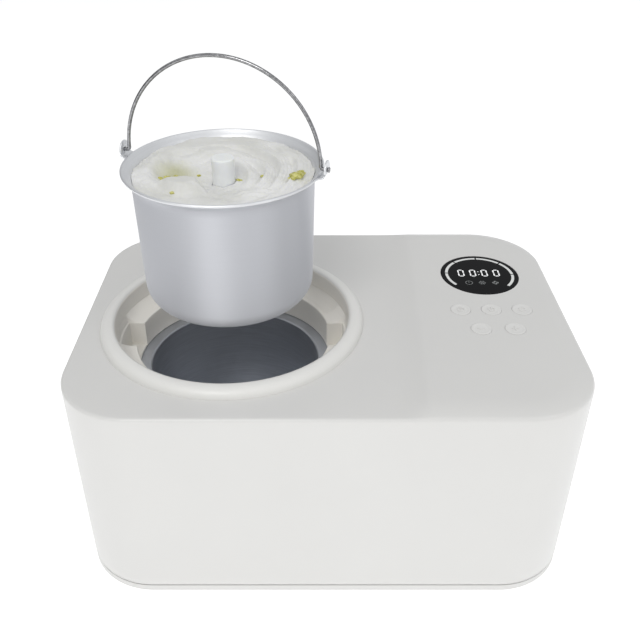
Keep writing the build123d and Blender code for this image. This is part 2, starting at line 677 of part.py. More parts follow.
def make_gearbox_screws():
    """Screws that hold the lid down."""
    top = GEARBOX_TOP + COVER_T
    return group(
        rod(1.3, GEARBOX_TOP - 8, top, at) + rod(2.6, top, top + 1.4, at) for at in GEARBOX_SCREWS
    )


def make_drive_shaft():
    """Shaft from the gearbox up through the well floor, with a hex dog on top."""
    shaft = rod(SHAFT_R, GEARBOX_Z + 0.2, DOG_Z)
    dog = RegularPolygon(DOG_AF / 2, 6, major_radius=False)
    shaft += Pos(0, 0, DOG_Z) * extrude(dog, DOG_TOP - DOG_Z)
    return Pos(*BOWL_XY, 0) * shaft


def make_output_gear():
    """Large slow gear on the drive shaft."""
    wheel = gear(OUTPUT_TEETH, SLOW_MODULE, SLOW_Z, SLOW_Z + SLOW_T, SHAFT_R, BOWL_XY, TRAIN_DEG)
    hub = tube(10, SHAFT_R, SLOW_Z + SLOW_T, GEARBOX_TOP - 1, BOWL_XY)
    holes = [rod(8, SLOW_Z - 1, SLOW_Z + SLOW_T + 1, polar(BOWL_XY, 35, 60 * i)) for i in range(6)]
    return wheel - holes + hub


def make_reduction_gear():
    """Compound gear: small slow pinion below, big fast gear above."""
    bore = 2.5 + RUN_GAP
    meet = FAST_Z - 0.5
    slow_phase = TRAIN_DEG + 180 + 180.0 / SMALL_TEETH
    small = gear(SMALL_TEETH, SLOW_MODULE, SLOW_Z - 0.5, meet, bore, IDLER_XY, slow_phase)
    big = gear(BIG_TEETH, FAST_MODULE, meet, FAST_Z + FAST_T, bore, IDLER_XY, TRAIN_DEG)
    return small + big


def make_motor_pinion():
    """Motor shaft with its pinion."""
    phase = TRAIN_DEG + 180 + 180.0 / PINION_TEETH
    pinion = gear(PINION_TEETH, FAST_MODULE, FAST_Z - 0.5, FAST_Z + FAST_T + 0.5, 1.0, MOTOR_XY, phase)
    return pinion + rod(2, FAST_Z - 1.5, 44, MOTOR_XY)


def make_drive_motor():
    """Motor can standing on the gearbox, with a blind bearing hole and two terminals."""
    low = GEARBOX_TOP + COVER_T
    can = rod(MOTOR_R, low, MOTOR_TOP, MOTOR_XY)
    can = fillet(can.faces().sort_by(Axis.Z)[-1].edges(), 3)
    can += rod(6, MOTOR_TOP, MOTOR_TOP + 3, MOTOR_XY)
    for side in (-1, 1):
        x = MOTOR_XY[0] + side * 12
        can += block(x - 2.5, x + 2.5, MOTOR_XY[1] - 0.4, MOTOR_XY[1] + 0.4, MOTOR_TOP - 1, MOTOR_TOP + 8)
    return can - rod(2 + RUN_GAP, low - 1, 46, MOTOR_XY)


# ---- cooling plant ----
def make_compressor():
    """Hermetic compressor can with a welded seam and its service stubs."""
    can = rod(COMPRESSOR_R, COMPRESSOR_Z, COMPRESSOR_TOP, COMPRESSOR_XY)
    can = fillet(can.faces().sort_by(Axis.Z)[-1].edges(), 24)
    can = fillet(can.faces().sort_by(Axis.Z)[0].edges(), 14)
    seam_z = (COMPRESSOR_Z + COMPRESSOR_TOP) / 2
    can += rod(COMPRESSOR_R + 1.5, seam_z - 1.5, seam_z + 1.5, COMPRESSOR_XY)
    return can


def make_compressor_base():
    """Steel plate under the compressor with four holes for the rubber mounts."""
    x, y = COMPRESSOR_XY
    plate = Pos(x, y, COMPRESSOR_Z - 3) * extrude(RectangleRounded(112, 100, 10), 3)
    for at in COMPRESSOR_FEET:
        plate -= rod(4, COMPRESSOR_Z - 4, COMPRESSOR_Z + 1, at)
    return plate


def make_compressor_grommets():
    """Rubber mounts between the plate and the tray."""
    low = TRAY_TOP
    plate_low = COMPRESSOR_Z - 3
    return group(rod(8, low, plate_low, at) + rod(4, plate_low, COMPRESSOR_Z, at) for at in COMPRESSOR_FEET)


def make_terminal_cover():
    """Plastic cover over the compressor's terminals."""
    x, y = COMPRESSOR_XY
    cover = block(x - 18, x + 18, y + COMPRESSOR_R + 2, y + COMPRESSOR_R + 18, 44, 84)
    return fillet(cover.edges().filter_by(Axis.Y), 4)


def make_condenser():
    """Finned block: upright plates crossed by tubes."""
    x0, x1, y0, y1, z0, z1 = CONDENSER
    step = (y1 - y0 - 1) / (FIN_COUNT - 1)
    core = Part()
    for row in range(5):
        z = z0 + 12 + row * 21
        for x in (x0 + 5, x1 - 5):
            core += rod_y(3, y0 - 3, y1 + 3, x, z)
    for index in range(FIN_COUNT):
        y = y0 + index * step
        core += block(x0, x1, y, y + 1, z0, z1)
    return core


def make_fan_frame():
    """Square frame with a round duct."""
    y, z = FAN_YZ
    half = FAN_SIZE / 2
    frame = block(*FAN_X, y - half, y + half, z - half, z + half)
    frame -= rod_x(FAN_R + 2, FAN_X[0] - 1, FAN_X[1] + 1, y, z)
    for sy in (-1, 1):
        for sz in (-1, 1):
            frame -= rod_x(2, FAN_X[0] - 1, FAN_X[1] + 1, y + sy * 44, z + sz * 44)
    return frame


def make_fan_motor():
    """Stator on three spider arms, with the pin that the rotor turns on."""
    y, z = FAN_YZ
    x0 = FAN_X[0]
    hub = rod_x(14, x0, x0 + 5, y, z)
    for arm in range(3):
        spoke = block(x0, x0 + 3, 10, FAN_R + 1.9, -2, 2)
        hub += Pos(0, y, z) * Rot(arm * 120 + 30, 0, 0) * spoke
    return hub + rod_x(1.5, x0, FAN_X[1] - 2, y, z)


def make_fan_rotor():
    """Hub and pitched blades."""
    y, z = FAN_YZ
    x0 = FAN_X[0] + 6
    x1 = FAN_X[1] - 1
    hub = rod_x(15, x0, x1, y, z)
    middle = (x0 + x1) / 2
    for index in range(BLADE_COUNT):
        blade = Rot(0, 0, 35) * Box(2, 24, FAN_R - 14, align=BOTTOM)
        turn = index * 360.0 / BLADE_COUNT
        hub += Pos(middle, y, z) * Rot(turn, 0, 0) * Pos(0, 0, 13) * blade
    inside = rod_x(FAN_R, x0, x1, y, z)
    return (hub & inside) - rod_x(1.5 + RUN_GAP, x0 - 1, x1 - 0.6, y, z)


def make_fan_screws():
    """Four screws through the fan frame."""
    y, z = FAN_YZ
    places = [(y + sy * 44, z + sz * 44) for sy in (-1, 1) for sz in (-1, 1)]
    return group(
        rod_x(1.9, FAN_X[0], FAN_X[1] + 2, *at) + rod_x(3.4, FAN_X[0] - 2, FAN_X[0], *at) for at in places
    )


def make_filter_drier():
    """Copper drier with tapered ends."""
    body = rod_x(8, 122, 178, DRIER_Y, DRIER_Z)
    body = chamfer(body.edges().filter_by(GeomType.CIRCLE), 5)
    return body + rod_x(2.6, 116, 184, DRIER_Y, DRIER_Z)


def make_suction_tube():
    """Return line from the coil to the compressor."""
    x, y = MANIFOLD_XY
    high = JACKET_TOP - 2
    side = COMPRESSOR_XY[0] - COMPRESSOR_R
    return pipe(
        2.6, 6, (x, y, JACKET_TOP - 10), (x, y, high), (38, 17, high),
        (56, COMPRESSOR_XY[1], high - 6), (56, COMPRESSOR_XY[1], 95), (side, COMPRESSOR_XY[1], 95),
    )


def make_discharge_tube():
    """Hot line from the compressor to the top of the condenser."""
    x1 = CONDENSER[1] - 5
    side = COMPRESSOR_XY[0] + COMPRESSOR_R
    return pipe(
        2.4, 6, (side, COMPRESSOR_XY[1], 92), (x1, COMPRESSOR_XY[1], 92), (x1, 40, 110),
        (x1, CONDENSER[3] + 3, 110),
    )


def make_liquid_tube():
    """Line from the foot of the condenser to the drier."""
    x = CONDENSER[1] - 5
    return pipe(2.4, 3, (x, CONDENSER[3] + 3, DRIER_Z), (x, DRIER_Y, DRIER_Z), (184, DRIER_Y, DRIER_Z))


def make_capillary_tube():
    """Thin line from the drier to the foot of the coil."""
    end = polar(MANIFOLD_XY, COIL_MINOR_R + 0.3, MANIFOLD_DEG)
    return pipe(
        1.2, 5, (116, DRIER_Y, DRIER_Z), (60, DRIER_Y, DRIER_Z), (30, 15.5, 58), (end[0], end[1], 58)
    )


# ---- electrics ----
def make_power_board():
    """Supply board on the front wall with a transformer, capacitors, relay and heat sink."""
    x0, x1, z0, z1 = SUPPLY_BOARD
    front, face = SUPPLY_BOARD_Y
    board = block(x0, x1, front, face, z0, z1)
    board += block(70, 100, face, face + 26, 30, 58)
    board += block(112, 130, face, face + 16, 30, 46)
    board += block(112, 140, face, face + 12, 74, 92)
    for x in (78.0, 94.0):
        board += rod_y(6, face, face + 22, x, 74)
    for x, z in SUPPLY_POSTS:
        board -= rod_y(1.6, front - 1, face + 1, x, z)
    return board


def make_board_screws():
    """Screws of both circuit boards."""
    low = BOARD_Z
    face = SUPPLY_BOARD_Y[1]
    shapes = [rod(2.4, low - 1.4, low, at) + rod(1.2, low, low + 8, at) for at in BOARD_POSTS]
    for x, z in SUPPLY_POSTS:
        shapes.append(rod_y(2.4, face, face + 1.4, x, z) + rod_y(1.2, face - 6, face, x, z))
    return group(shapes)


def make_power_inlet():
    """Mains inlet behind the rear wall, with a recess and three pins."""
    x, z, width, height = INLET
    half_w, half_h = width / 2 - 0.2, height / 2 - 0.2
    back = BODY_D / 2
    inlet = block(x - 22, x + 22, back - WALL_T - 3, back - WALL_T, z - 12, z + 12)
    inlet += block(x - half_w, x + half_w, back - 26, back, z - half_h, z + half_h)
    inlet -= block(x - 11.5, x + 11.5, back - 18, back + 1, z - 7.5, z + 7.5)
    for dx, dz in ((-7, -1.5), (0, 2.5), (7, -1.5)):
        inlet += block(x + dx - 1, x + dx + 1, back - 19, back - 5, z + dz - 2, z + dz + 2)
    return inlet


def make_ribbon_cable():
    """Flat cable from the supply board up to the display board."""
    x0, x1 = RIBBON_X
    face = SUPPLY_BOARD_Y[1]
    rise_y = face + 5.4
    low, high = 94.0, BOARD_Z - 12
    end_y = -48.0
    cable = block(x0, x1, rise_y, rise_y + RIBBON_T, low, high)
    cable += block(x0, x1, face, rise_y + RIBBON_T, low, low + RIBBON_T)
    cable += block(x0, x1, rise_y, end_y + RIBBON_T, high - RIBBON_T, high)
    return cable + block(x0, x1, end_y, end_y + RIBBON_T, high - RIBBON_T, BOARD_Z - 7)


def make_all():
    """Every node's name and solid."""
    nodes = {
        "housing_shell": make_housing_shell(),
        "base_tray": make_base_tray(),
        "rubber_feet": make_rubber_feet(),
        "base_screws": make_screws(BASE_SCREWS, 3.2, 1.4, FOOT_H - 1.8, FOOT_H, 22),
        "opening_collar": make_opening_collar(),
        "display_window": make_display_window(),
        "light_guide": make_light_guide(),
        "led_module": make_led_module(),
        "display_board": make_display_board(),
        "tact_switches": make_tact_switches(),
        "board_screws": make_board_screws(),
        "evaporator_well": make_evaporator_well(),
        "evaporator_coil": make_evaporator_coil(),
        "insulation_jacket": make_insulation_jacket(),
        "temperature_sensor": make_temperature_sensor(),
        "bowl": make_bowl(),
        "bail": make_bail(),
        "paddle": make_paddle(),
        "ice_cream": make_ice_cream(),
        "gearbox_housing": make_gearbox_housing(),
        "gearbox_cover": make_gearbox_cover(),
        "gearbox_screws": make_gearbox_screws(),
        "drive_shaft": make_drive_shaft(),
        "output_gear": make_output_gear(),
        "reduction_gear": make_reduction_gear(),
        "idler_pin": rod(2.5, GEARBOX_Z, GEARBOX_TOP + COVER_T, IDLER_XY),
        "lower_bushing": tube(7, SHAFT_R + RUN_GAP, GEARBOX_Z, GEARBOX_Z + 2.6, BOWL_XY),
        "upper_bushing": tube(6, SHAFT_R + RUN_GAP, WELL_BOSS_Z, WELL_FLOOR_Z - 3, BOWL_XY),
        "shaft_seal": tube(6, SHAFT_R + RUN_GAP, WELL_FLOOR_Z - 3, WELL_FLOOR_Z, BOWL_XY),
        "motor_pinion": make_motor_pinion(),
        "drive_motor": make_drive_motor(),
        "compressor": make_compressor(),
        "compressor_base": make_compressor_base(),
        "compressor_grommets": make_compressor_grommets(),
        "terminal_cover": make_terminal_cover(),
        "condenser": make_condenser(),
        "fan_frame": make_fan_frame(),
        "fan_motor": make_fan_motor(),
        "fan_rotor": make_fan_rotor(),
        "fan_screws": make_fan_screws(),
        "filter_drier": make_filter_drier(),
        "suction_tube": make_suction_tube(),
        "discharge_tube": make_discharge_tube(),
        "liquid_tube": make_liquid_tube(),
        "capillary_tube": make_capillary_tube(),
        "power_board": make_power_board(),
        "power_inlet": make_power_inlet(),
        "ribbon_cable": make_ribbon_cable(),
    }
    for name, at in KEY_PLACES.items():
        nodes[name] = make_key(at)
    return nodes


os.makedirs("parts", exist_ok=True)
for node_name, node_shape in make_all().items():
    export_step(node_shape, f"parts/{node_name}.step")
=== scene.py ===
"""Looks of the ice cream maker: smooth casing, spun bowl, wire bail, display, keys and ice cream."""
import bmesh
import bpy
import math
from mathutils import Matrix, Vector, noise
from mathutils.geometry import delaunay_2d_cdt


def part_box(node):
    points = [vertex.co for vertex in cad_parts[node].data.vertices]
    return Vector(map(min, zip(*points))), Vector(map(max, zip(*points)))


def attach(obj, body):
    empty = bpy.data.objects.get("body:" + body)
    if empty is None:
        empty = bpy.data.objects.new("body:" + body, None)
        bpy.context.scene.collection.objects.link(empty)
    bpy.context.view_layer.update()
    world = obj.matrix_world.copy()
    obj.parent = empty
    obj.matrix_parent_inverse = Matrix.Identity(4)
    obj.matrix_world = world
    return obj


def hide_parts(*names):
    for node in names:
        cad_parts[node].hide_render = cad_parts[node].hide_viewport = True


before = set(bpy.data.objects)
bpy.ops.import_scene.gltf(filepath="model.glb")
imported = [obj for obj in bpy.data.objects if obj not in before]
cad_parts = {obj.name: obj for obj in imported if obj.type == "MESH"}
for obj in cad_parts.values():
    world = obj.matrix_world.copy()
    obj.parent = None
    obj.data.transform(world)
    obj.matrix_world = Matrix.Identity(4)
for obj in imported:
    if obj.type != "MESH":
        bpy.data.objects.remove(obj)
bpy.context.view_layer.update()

MM = 0.001

# ---- places read from the frame ----
WELL_LOW, WELL_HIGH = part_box("evaporator_well")
CENTRE = (WELL_LOW + WELL_HIGH) / 2
SHELL_LOW, SHELL_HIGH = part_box("housing_shell")
COLLAR_LOW, COLLAR_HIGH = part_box("opening_collar")
WINDOW_LOW, WINDOW_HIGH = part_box("display_window")
WINDOW = (WINDOW_LOW + WINDOW_HIGH) / 2
INLET_LOW, INLET_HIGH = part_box("power_inlet")
BOWL_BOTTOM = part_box("bowl")[0].z
KEY_NAMES = ("timer_key", "power_key", "mix_key", "minus_key", "plus_key")

# ---- casing, metres ----
HALF_W = (SHELL_HIGH.x - SHELL_LOW.x) / 2
HALF_D = (SHELL_HIGH.y - SHELL_LOW.y) / 2
LIP_H = 8 * MM
DECK_Z = COLLAR_HIGH.z - LIP_H
CORNER_R = 63 * MM
EDGE_R = 3 * MM
EDGE_STEPS = 6
WALL_T = 2.6 * MM
OUTLINE_STEPS = 360
COLLAR_HOLE_STEPS = 160
WINDOW_HOLE_STEPS = 96
KEY_HOLE_STEPS = 48
DECK_STEP = 4 * MM      # side of the deck's triangles
ROW_SHARE = 0.866       # row spacing as a share of it
CLEAR_SHARE = 0.4       # room left beside the outline and the holes, as a share of it
POINT_TOLERANCE = 1e-7
MERGE_DISTANCE = 2e-6
COLLAR_HOLE_R = 112.8 * MM
WINDOW_HOLE_R = 37.25 * MM
KEY_HOLE_R = 9.2 * MM

# ---- raised control panel: where its left slope starts, where it ends, how far its edges fall ----
PANEL_RISE = SHELL_HIGH.z - DECK_Z
PANEL_LEFT_X = 54 * MM
PANEL_SLOPE_FRONT_X = 76 * MM
PANEL_SLOPE_BACK_X = 88 * MM
PANEL_SLOPE_POWER = 1.6
PANEL_BORDER = 22 * MM
PANEL_BORDER_POWER = 2.4

# ---- air slots and inlet cut-out ----
SLOT_PITCH = 9 * MM
SLOT_HALF_W = 2 * MM
SLOT_END_STEPS = 8
CUT_REACH = 8 * MM
SIDE_SLOTS = 11
SIDE_SLOT_Z = 28 * MM
SIDE_SLOT_HALF = 48 * MM
RIGHT_SLOT_Y = -46 * MM
LEFT_SLOT_Y = 8 * MM
BACK_SLOTS = 12
BACK_SLOT_X = 76 * MM
BACK_SLOT_Z = 70 * MM
BACK_SLOT_HALF = 40 * MM
INLET_FLANGE_X = 8 * MM
INLET_FLANGE_Z = 1.9 * MM

# ---- collar ----
LIP_INNER_R = 102.6 * MM
LIP_OUTER_R = 116 * MM
LIP_ROUND = 3.4 * MM
LIP_SLOPE_POWER = 2.3
LIP_SLOPE_STEPS = 14
LIP_SEGMENTS = 288
LIP_EDGE_H = 0.8 * MM
LIP_SKIRT_R = 112.4 * MM
LIP_SKIRT_Z = DECK_Z - 9 * MM
DECK_GAP = 0.02 * MM
LEDGE_TOP_Z = DECK_Z - 9.4 * MM
LEDGE_EDGE_Z = DECK_Z - 17 * MM
LEDGE_STEPS = 12
LEDGE_SAG_POWER = 2.2
LEDGE_ROUND = 1.2 * MM
SLEEVE_R = 86 * MM
SLEEVE_T = 2.4 * MM
SLEEVE_BASE_Z = COLLAR_LOW.z + 0.1 * MM
POCKET_R = 100 * MM
POCKET_FLOOR_Z = 159.2 * MM
POCKET_WALL_R = 102.4 * MM
POCKET_DEGREES = (10.6, 12.0)
RECESS_DEPTH = 4 * MM
RECESS_DEGREES = ((22, 24), (66, 68))
LINER_BACK_R = 106.2 * MM
LINER_BACK_Z = DECK_Z - 14 * MM
LINER_SEGMENTS = 720

# ---- bowl, profiles as (radius, height) in mm ----
BOWL_WALL = 1.2 * MM
BOWL_CORNER = 17 * MM
BOWL_BASE_R = 71 * MM
BOWL_SEGMENTS = 256
TUBE_R = 7 * MM
TUBE_BORE_R = 5.8 * MM
TUBE_TOP = 338 * MM
BRIM_R = 78 * MM
FLARE_OUTSIDE = (
    (71.6, 270), (72.4, 310), (72.8, 332), (73.2, 336.5), (74.4, 339.3), (76.4, 341.4), (78.4, 343.0),
)
FLARE_INSIDE = (
    (77.2, 343.9), (75.3, 342.3), (73.4, 340.3), (72.2, 337.6), (71.6, 332), (71.2, 310), (70.4, 270),
)
BEAD = (79.1 * MM, 344.5 * MM, 1.25 * MM)

# ---- ears and bail ----
EAR_DEG = -15.0
EAR_DIR = Vector((math.cos(math.radians(EAR_DEG)), math.sin(math.radians(EAR_DEG)), 0))
EAR_SIDE = Vector((-EAR_DIR.y, EAR_DIR.x, 0))
EAR_HALF = 8 * MM
EAR_T = 1.2 * MM
EAR_NECK = ((78.0, 343.2), (80.5, 343.7), (82.6, 344.1), (84.0, 345.2), (84.6, 346.6))
EAR_ACROSS = (-1, -0.6, -0.2, 0.2, 0.6, 1)
EAR_PLATE_R = 84.7 * MM
EAR_TOP_R = 7.4 * MM
EAR_SHOULDER = -0.3
EAR_CROWN = 0.8
EAR_HOLE_R = 1.75 * MM
EAR_STEPS = 32
PIVOT_Z = 349 * MM
BAIL_R = 80.0
BAIL_BEND_R = 2.5
BAIL_WIRE_R = 1.5
BAIL_END = ((87.4, 0.6), (87.3, 1.8), (86.9, 2.15), (86.1, 2.1), (85.8, 1.5), (85.0, 1.5), (83.4, 1.5))


# ---- small tools ----
def smooth_step(low, high, value):
    """0 below low, 1 above high, and a smooth rise between."""
    share = min(1.0, max(0.0, (value - low) / (high - low)))
    return share * share * (3 - 2 * share)


def mix(a, b, share):
    """The value a given share of the way from a to b."""
    return a + (b - a) * share


def in_metres(points):
    """Profile points given in mm."""
    return [(r * MM, z * MM) for r, z in points]


def add_object(name, bm, material=None, smooth=True):
    """Turns a bmesh into a linked object."""
    bmesh.ops.recalc_face_normals(bm, faces=bm.faces)
    mesh = bpy.data.meshes.new(name)
    bm.to_mesh(mesh)
    bm.free()
    obj = bpy.data.objects.new(name, mesh)
    bpy.context.scene.collection.objects.link(obj)
    for polygon in mesh.polygons:
        polygon.use_smooth = smooth
    if material:
        mesh.materials.append(material)
    return obj


def apply_modifiers(obj):
    """Replaces the mesh by what its modifiers make of it."""
    bpy.context.view_layer.update()
    graph = bpy.context.evaluated_depsgraph_get()
    made = bpy.data.meshes.new_from_object(obj.evaluated_get(graph))
    old = obj.data
    obj.modifiers.clear()
    obj.data = made
    bpy.data.meshes.remove(old)


def soften_edges(obj, width):
    """Adds a narrow bevel along the sharp edges."""
    soft = obj.modifiers.new("edges", "BEVEL")
    soft.width = width
    soft.segments = 2
    soft.limit_method = "ANGLE"


def shade_by_angle(obj, degrees=50):
    """Smooth shading with crisp edges above an angle."""
    mesh = obj.data
    mesh.polygons.foreach_set("use_smooth", [True] * len(mesh.polygons))
    mesh.set_sharp_from_angle(angle=math.radians(degrees))


def arc_points(cx, cy, radius, start, end, steps):
    """Points on an arc, angles in degrees."""
    points = []
    for index in range(steps + 1):
        angle = math.radians(mix(start, end, index / steps))
        points.append((cx + radius * math.cos(angle), cy + radius * math.sin(angle)))
    return points


def join_rings(bm, ring, other):
    """Quads between two closed rings of vertices."""
    for i in range(len(ring)):
        j = (i + 1) % len(ring)
        bm.faces.new((ring[i], ring[j], other[j], other[i]))


def turned(name, sections, centre, material):
    """Closed solid from evenly spaced sections, (radius, height) in metres, round an upright axis."""
    bm = bmesh.new()
    rings = []
    for index, section in enumerate(sections):
        angle = 2 * math.pi * index / len(sections)
        x, y = math.cos(angle), math.sin(angle)
        rings.append([bm.verts.new((centre[0] + r * x, centre[1] + r * y, z)) for r, z in section])
    for index, ring in enumerate(rings):
        join_rings(bm, rings[(index + 1) % len(rings)], ring)
    return add_object(name, bm, material)


def add_plate(bm, points, low, high):
    """Thin plate from a closed loop of plan points."""
    bottom = [bm.verts.new((x, y, low)) for x, y in points]
    top = [bm.verts.new((x, y, high)) for x, y in points]
    bm.faces.new(list(reversed(bottom)))
    bm.faces.new(top)
    join_rings(bm, bottom, top)


def add_block(bm, cx, cy, low, high, half_x, half_y):
    """Rectangular plate about a plan point."""
    add_plate(bm, [(cx - half_x, cy - half_y), (cx + half_x, cy - half_y),
                   (cx + half_x, cy + half_y), (cx - half_x, cy + half_y)], low, high)


def arc_band(cx, cy, inner, outer, start, end, steps=24):
    """Closed loop of plan points round an arc-shaped band."""
    return arc_points(cx, cy, outer, start, end, steps) + arc_points(cx, cy, inner, start, end, steps)[::-1]


# ---- casing outline and deck surface ----
def outline_point(inset, share):
    """Point on the rounded plan outline moved in by inset, share going round from 0 to 1."""
    half_x = HALF_W - CORNER_R
    half_y = HALF_D - CORNER_R
    radius = CORNER_R - inset
    arc = math.pi / 2 * CORNER_R
    sides = [2 * half_y, arc, 2 * half_x, arc] * 2
    corner_signs = ((1, 1), (-1, 1), (-1, -1), (1, -1))
    along = (share % 1.0) * sum(sides)
    for side, length in enumerate(sides):
        if along <= length:
            break
        along -= length
    quarter = side // 2
    base = quarter * math.pi / 2
    if side % 2 == 0:
        normal = (math.cos(base), math.sin(base))
        before = corner_signs[quarter - 1]
        x = before[0] * half_x - normal[1] * along + normal[0] * radius
        y = before[1] * half_y + normal[0] * along + normal[1] * radius
        return x, y
    angle = base + along / CORNER_R
    sign = corner_signs[quarter]
    return sign[0] * half_x + radius * math.cos(angle), sign[1] * half_y + radius * math.sin(angle)


def edge_distance(x, y):
    """How far a plan point lies inside the outline."""
    dx = abs(x) - (HALF_W - CORNER_R)
    dy = abs(y) - (HALF_D - CORNER_R)
    outside = math.hypot(max(dx, 0), max(dy, 0)) + min(max(dx, dy), 0)
    return CORNER_R - outside


def panel_rise(x, y):
    """Height of the softly raised control panel above the deck, zero at the casing's edge."""
    back = (y + HALF_D) / (2 * HALF_D)
    slope_end = mix(PANEL_SLOPE_FRONT_X, PANEL_SLOPE_BACK_X, back)
    climbed = min(1.0, max(0.0, (x - PANEL_LEFT_X) / (slope_end - PANEL_LEFT_X)))
    inside = min(1.0, max(0.0, edge_distance(x, y)) / PANEL_BORDER)
    border = 1 - (1 - inside) ** PANEL_BORDER_POWER
    return PANEL_RISE * climbed ** PANEL_SLOPE_POWER * border


# ---- materials ----
def new_material(name):
    """Material with its node tree and main shader."""
    material = bpy.data.materials.new(name)
    material.use_nodes = True
    tree = material.node_tree
    shader = next(n for n in tree.nodes if n.type == "BSDF_PRINCIPLED")
    return material, tree, shader


def noise_node(tree, scale, detail=3.0, stretch=(1, 1, 1)):
    """Object-space noise, stretched along chosen axes."""
    place = tree.nodes.new("ShaderNodeTexCoord")
    warp = tree.nodes.new("ShaderNodeMapping")
    warp.inputs["Scale"].default_value = stretch
    tree.links.new(place.outputs["Object"], warp.inputs["Vector"])
    cloud = tree.nodes.new("ShaderNodeTexNoise")
    cloud.inputs["Scale"].default_value = scale
    cloud.inputs["Detail"].default_value = detail
    tree.links.new(warp.outputs["Vector"], cloud.inputs["Vector"])
    return cloud.outputs["Fac"]


def ramp(tree, source, low, high, start=0.35, end=0.65):
    """Colour ramp between two colours."""
    node = tree.nodes.new("ShaderNodeValToRGB")
    node.color_ramp.elements[0].position = start
    node.color_ramp.elements[1].position = end
    node.color_ramp.elements[0].color = (*low, 1)
    node.color_ramp.elements[1].color = (*high, 1)
    tree.links.new(source, node.inputs["Fac"])
    return node.outputs["Color"]


def remap(tree, source, from_low, from_high, to_low, to_high):
    """Maps a value from one range to another, held at both ends."""
    node = tree.nodes.new("ShaderNodeMapRange")
    node.inputs["From Min"].default_value = from_low
    node.inputs["From Max"].default_value = from_high
    node.inputs["To Min"].default_value = to_low
    node.inputs["To Max"].default_value = to_high
    tree.links.new(source, node.inputs["Value"])
    return node.outputs["Result"]


def set_roughness(tree, shader, source, low, high):
    """Roughness that drifts between two values."""
    tree.links.new(remap(tree, source, 0.0, 1.0, low, high), shader.inputs["Roughness"])


def set_tone(tree, shader, source, colour, vary):
    """Base colour that drifts by a share of itself either way."""
    dark = tuple(c * (1 - vary) for c in colour)
    light = tuple(min(1.0, c * (1 + vary)) for c in colour)
    tree.links.new(ramp(tree, source, dark, light), shader.inputs["Base Color"])


def set_subsurface(shader, weight, radius, scale=None):
    """Light that sinks in below the surface, radius per colour in metres."""
    shader.inputs["Subsurface Weight"].default_value = weight
    shader.inputs["Subsurface Radius"].default_value = radius
    if scale:
        shader.inputs["Subsurface Scale"].default_value = scale


def bump(tree, shader, height, strength, distance):
    """Fine relief from a height value."""
    node = tree.nodes.new("ShaderNodeBump")
    node.inputs["Strength"].default_value = strength
    node.inputs["Distance"].default_value = distance
    tree.links.new(height, node.inputs["Height"])
    tree.links.new(node.outputs["Normal"], shader.inputs["Normal"])


PLASTIC_DRIFT_SCALE = 9.0
PLASTIC_GLOSS_SCALE = 60.0
PLASTIC_GLOSS_DRIFT = 0.04
PLASTIC_RELIEF = 0.0004
METAL_GLOSS_DRIFT = 0.06
METAL_RELIEF = 0.0003


def plastic(name, colour, rough, vary=0.02, grain=900.0, grain_depth=0.03, coat=0.0, subsurface=0.0,
            specular=0.5):
    """Moulded plastic: faint tone drift, uneven gloss and a fine moulded grain."""
    material, tree, shader = new_material(name)
    set_tone(tree, shader, noise_node(tree, PLASTIC_DRIFT_SCALE), colour, vary)
    gloss = noise_node(tree, PLASTIC_GLOSS_SCALE)
    set_roughness(tree, shader, gloss, rough - PLASTIC_GLOSS_DRIFT, rough + PLASTIC_GLOSS_DRIFT)
    bump(tree, shader, noise_node(tree, grain, 2.0), grain_depth, PLASTIC_RELIEF)
    shader.inputs["Specular IOR Level"].default_value = specular
    shader.inputs["Coat Weight"].default_value = coat
    shader.inputs["Coat Roughness"].default_value = 0.25
    if subsurface:
        set_subsurface(shader, subsurface, (0.006, 0.006, 0.005), 0.6)
    return material


def metal(name, colour, rough, stretch=(1, 1, 1), scale=60.0, depth=0.05, vary=0.06, spun=0.0):
    """Worked metal: streaks in tone and gloss along the working direction."""
    material, tree, shader = new_material(name)
    shader.inputs["Metallic"].default_value = 1.0
    if spun:
        around = tree.nodes.new("ShaderNodeTangent")
        around.direction_type = "RADIAL"
        around.axis = "Z"
        tree.links.new(around.outputs["Tangent"], shader.inputs["Tangent"])
        shader.inputs["Anisotropic"].default_value = spun
        shader.inputs["Anisotropic Rotation"].default_value = 0.25
    streak = noise_node(tree, scale, 4.0, stretch)
    set_tone(tree, shader, streak, colour, vary)
    set_roughness(tree, shader, streak, rough - METAL_GLOSS_DRIFT, rough + METAL_GLOSS_DRIFT)
    bump(tree, shader, streak, depth, METAL_RELIEF)
    return material


HOUSING = plastic("housing_plastic", (0.70, 0.695, 0.68), 0.32, vary=0.008, coat=0.3)
COLLAR = plastic("collar_plastic", (0.79, 0.785, 0.76), 0.40, vary=0.008, coat=0.1)
# lighter, warmer copy of the collar plastic for the shaded inner walls of the opening: painted light
COLLAR_INSIDE_PAINTED_LIGHT = plastic("collar_plastic_painted_light", (0.91, 0.885, 0.83), 0.45, vary=0.008)
TRAY = plastic("tray_plastic", (0.72, 0.715, 0.70), 0.45, vary=0.01)
KEYS = plastic("key_plastic", (0.74, 0.735, 0.72), 0.36, vary=0.008)
WINDOW_BLACK = plastic("window_acrylic", (0.005, 0.005, 0.006), 0.12, vary=0.2, grain_depth=0.005,
                       specular=0.06)
PADDLE_WHITE = plastic("paddle_plastic", (0.84, 0.86, 0.86), 0.35, vary=0.015, subsurface=0.5)
BOWL_METAL = metal("bowl_aluminium", (0.62, 0.63, 0.665), 0.52, (1, 1, 60), 30, 0.01, 0.012, spun=0.8)
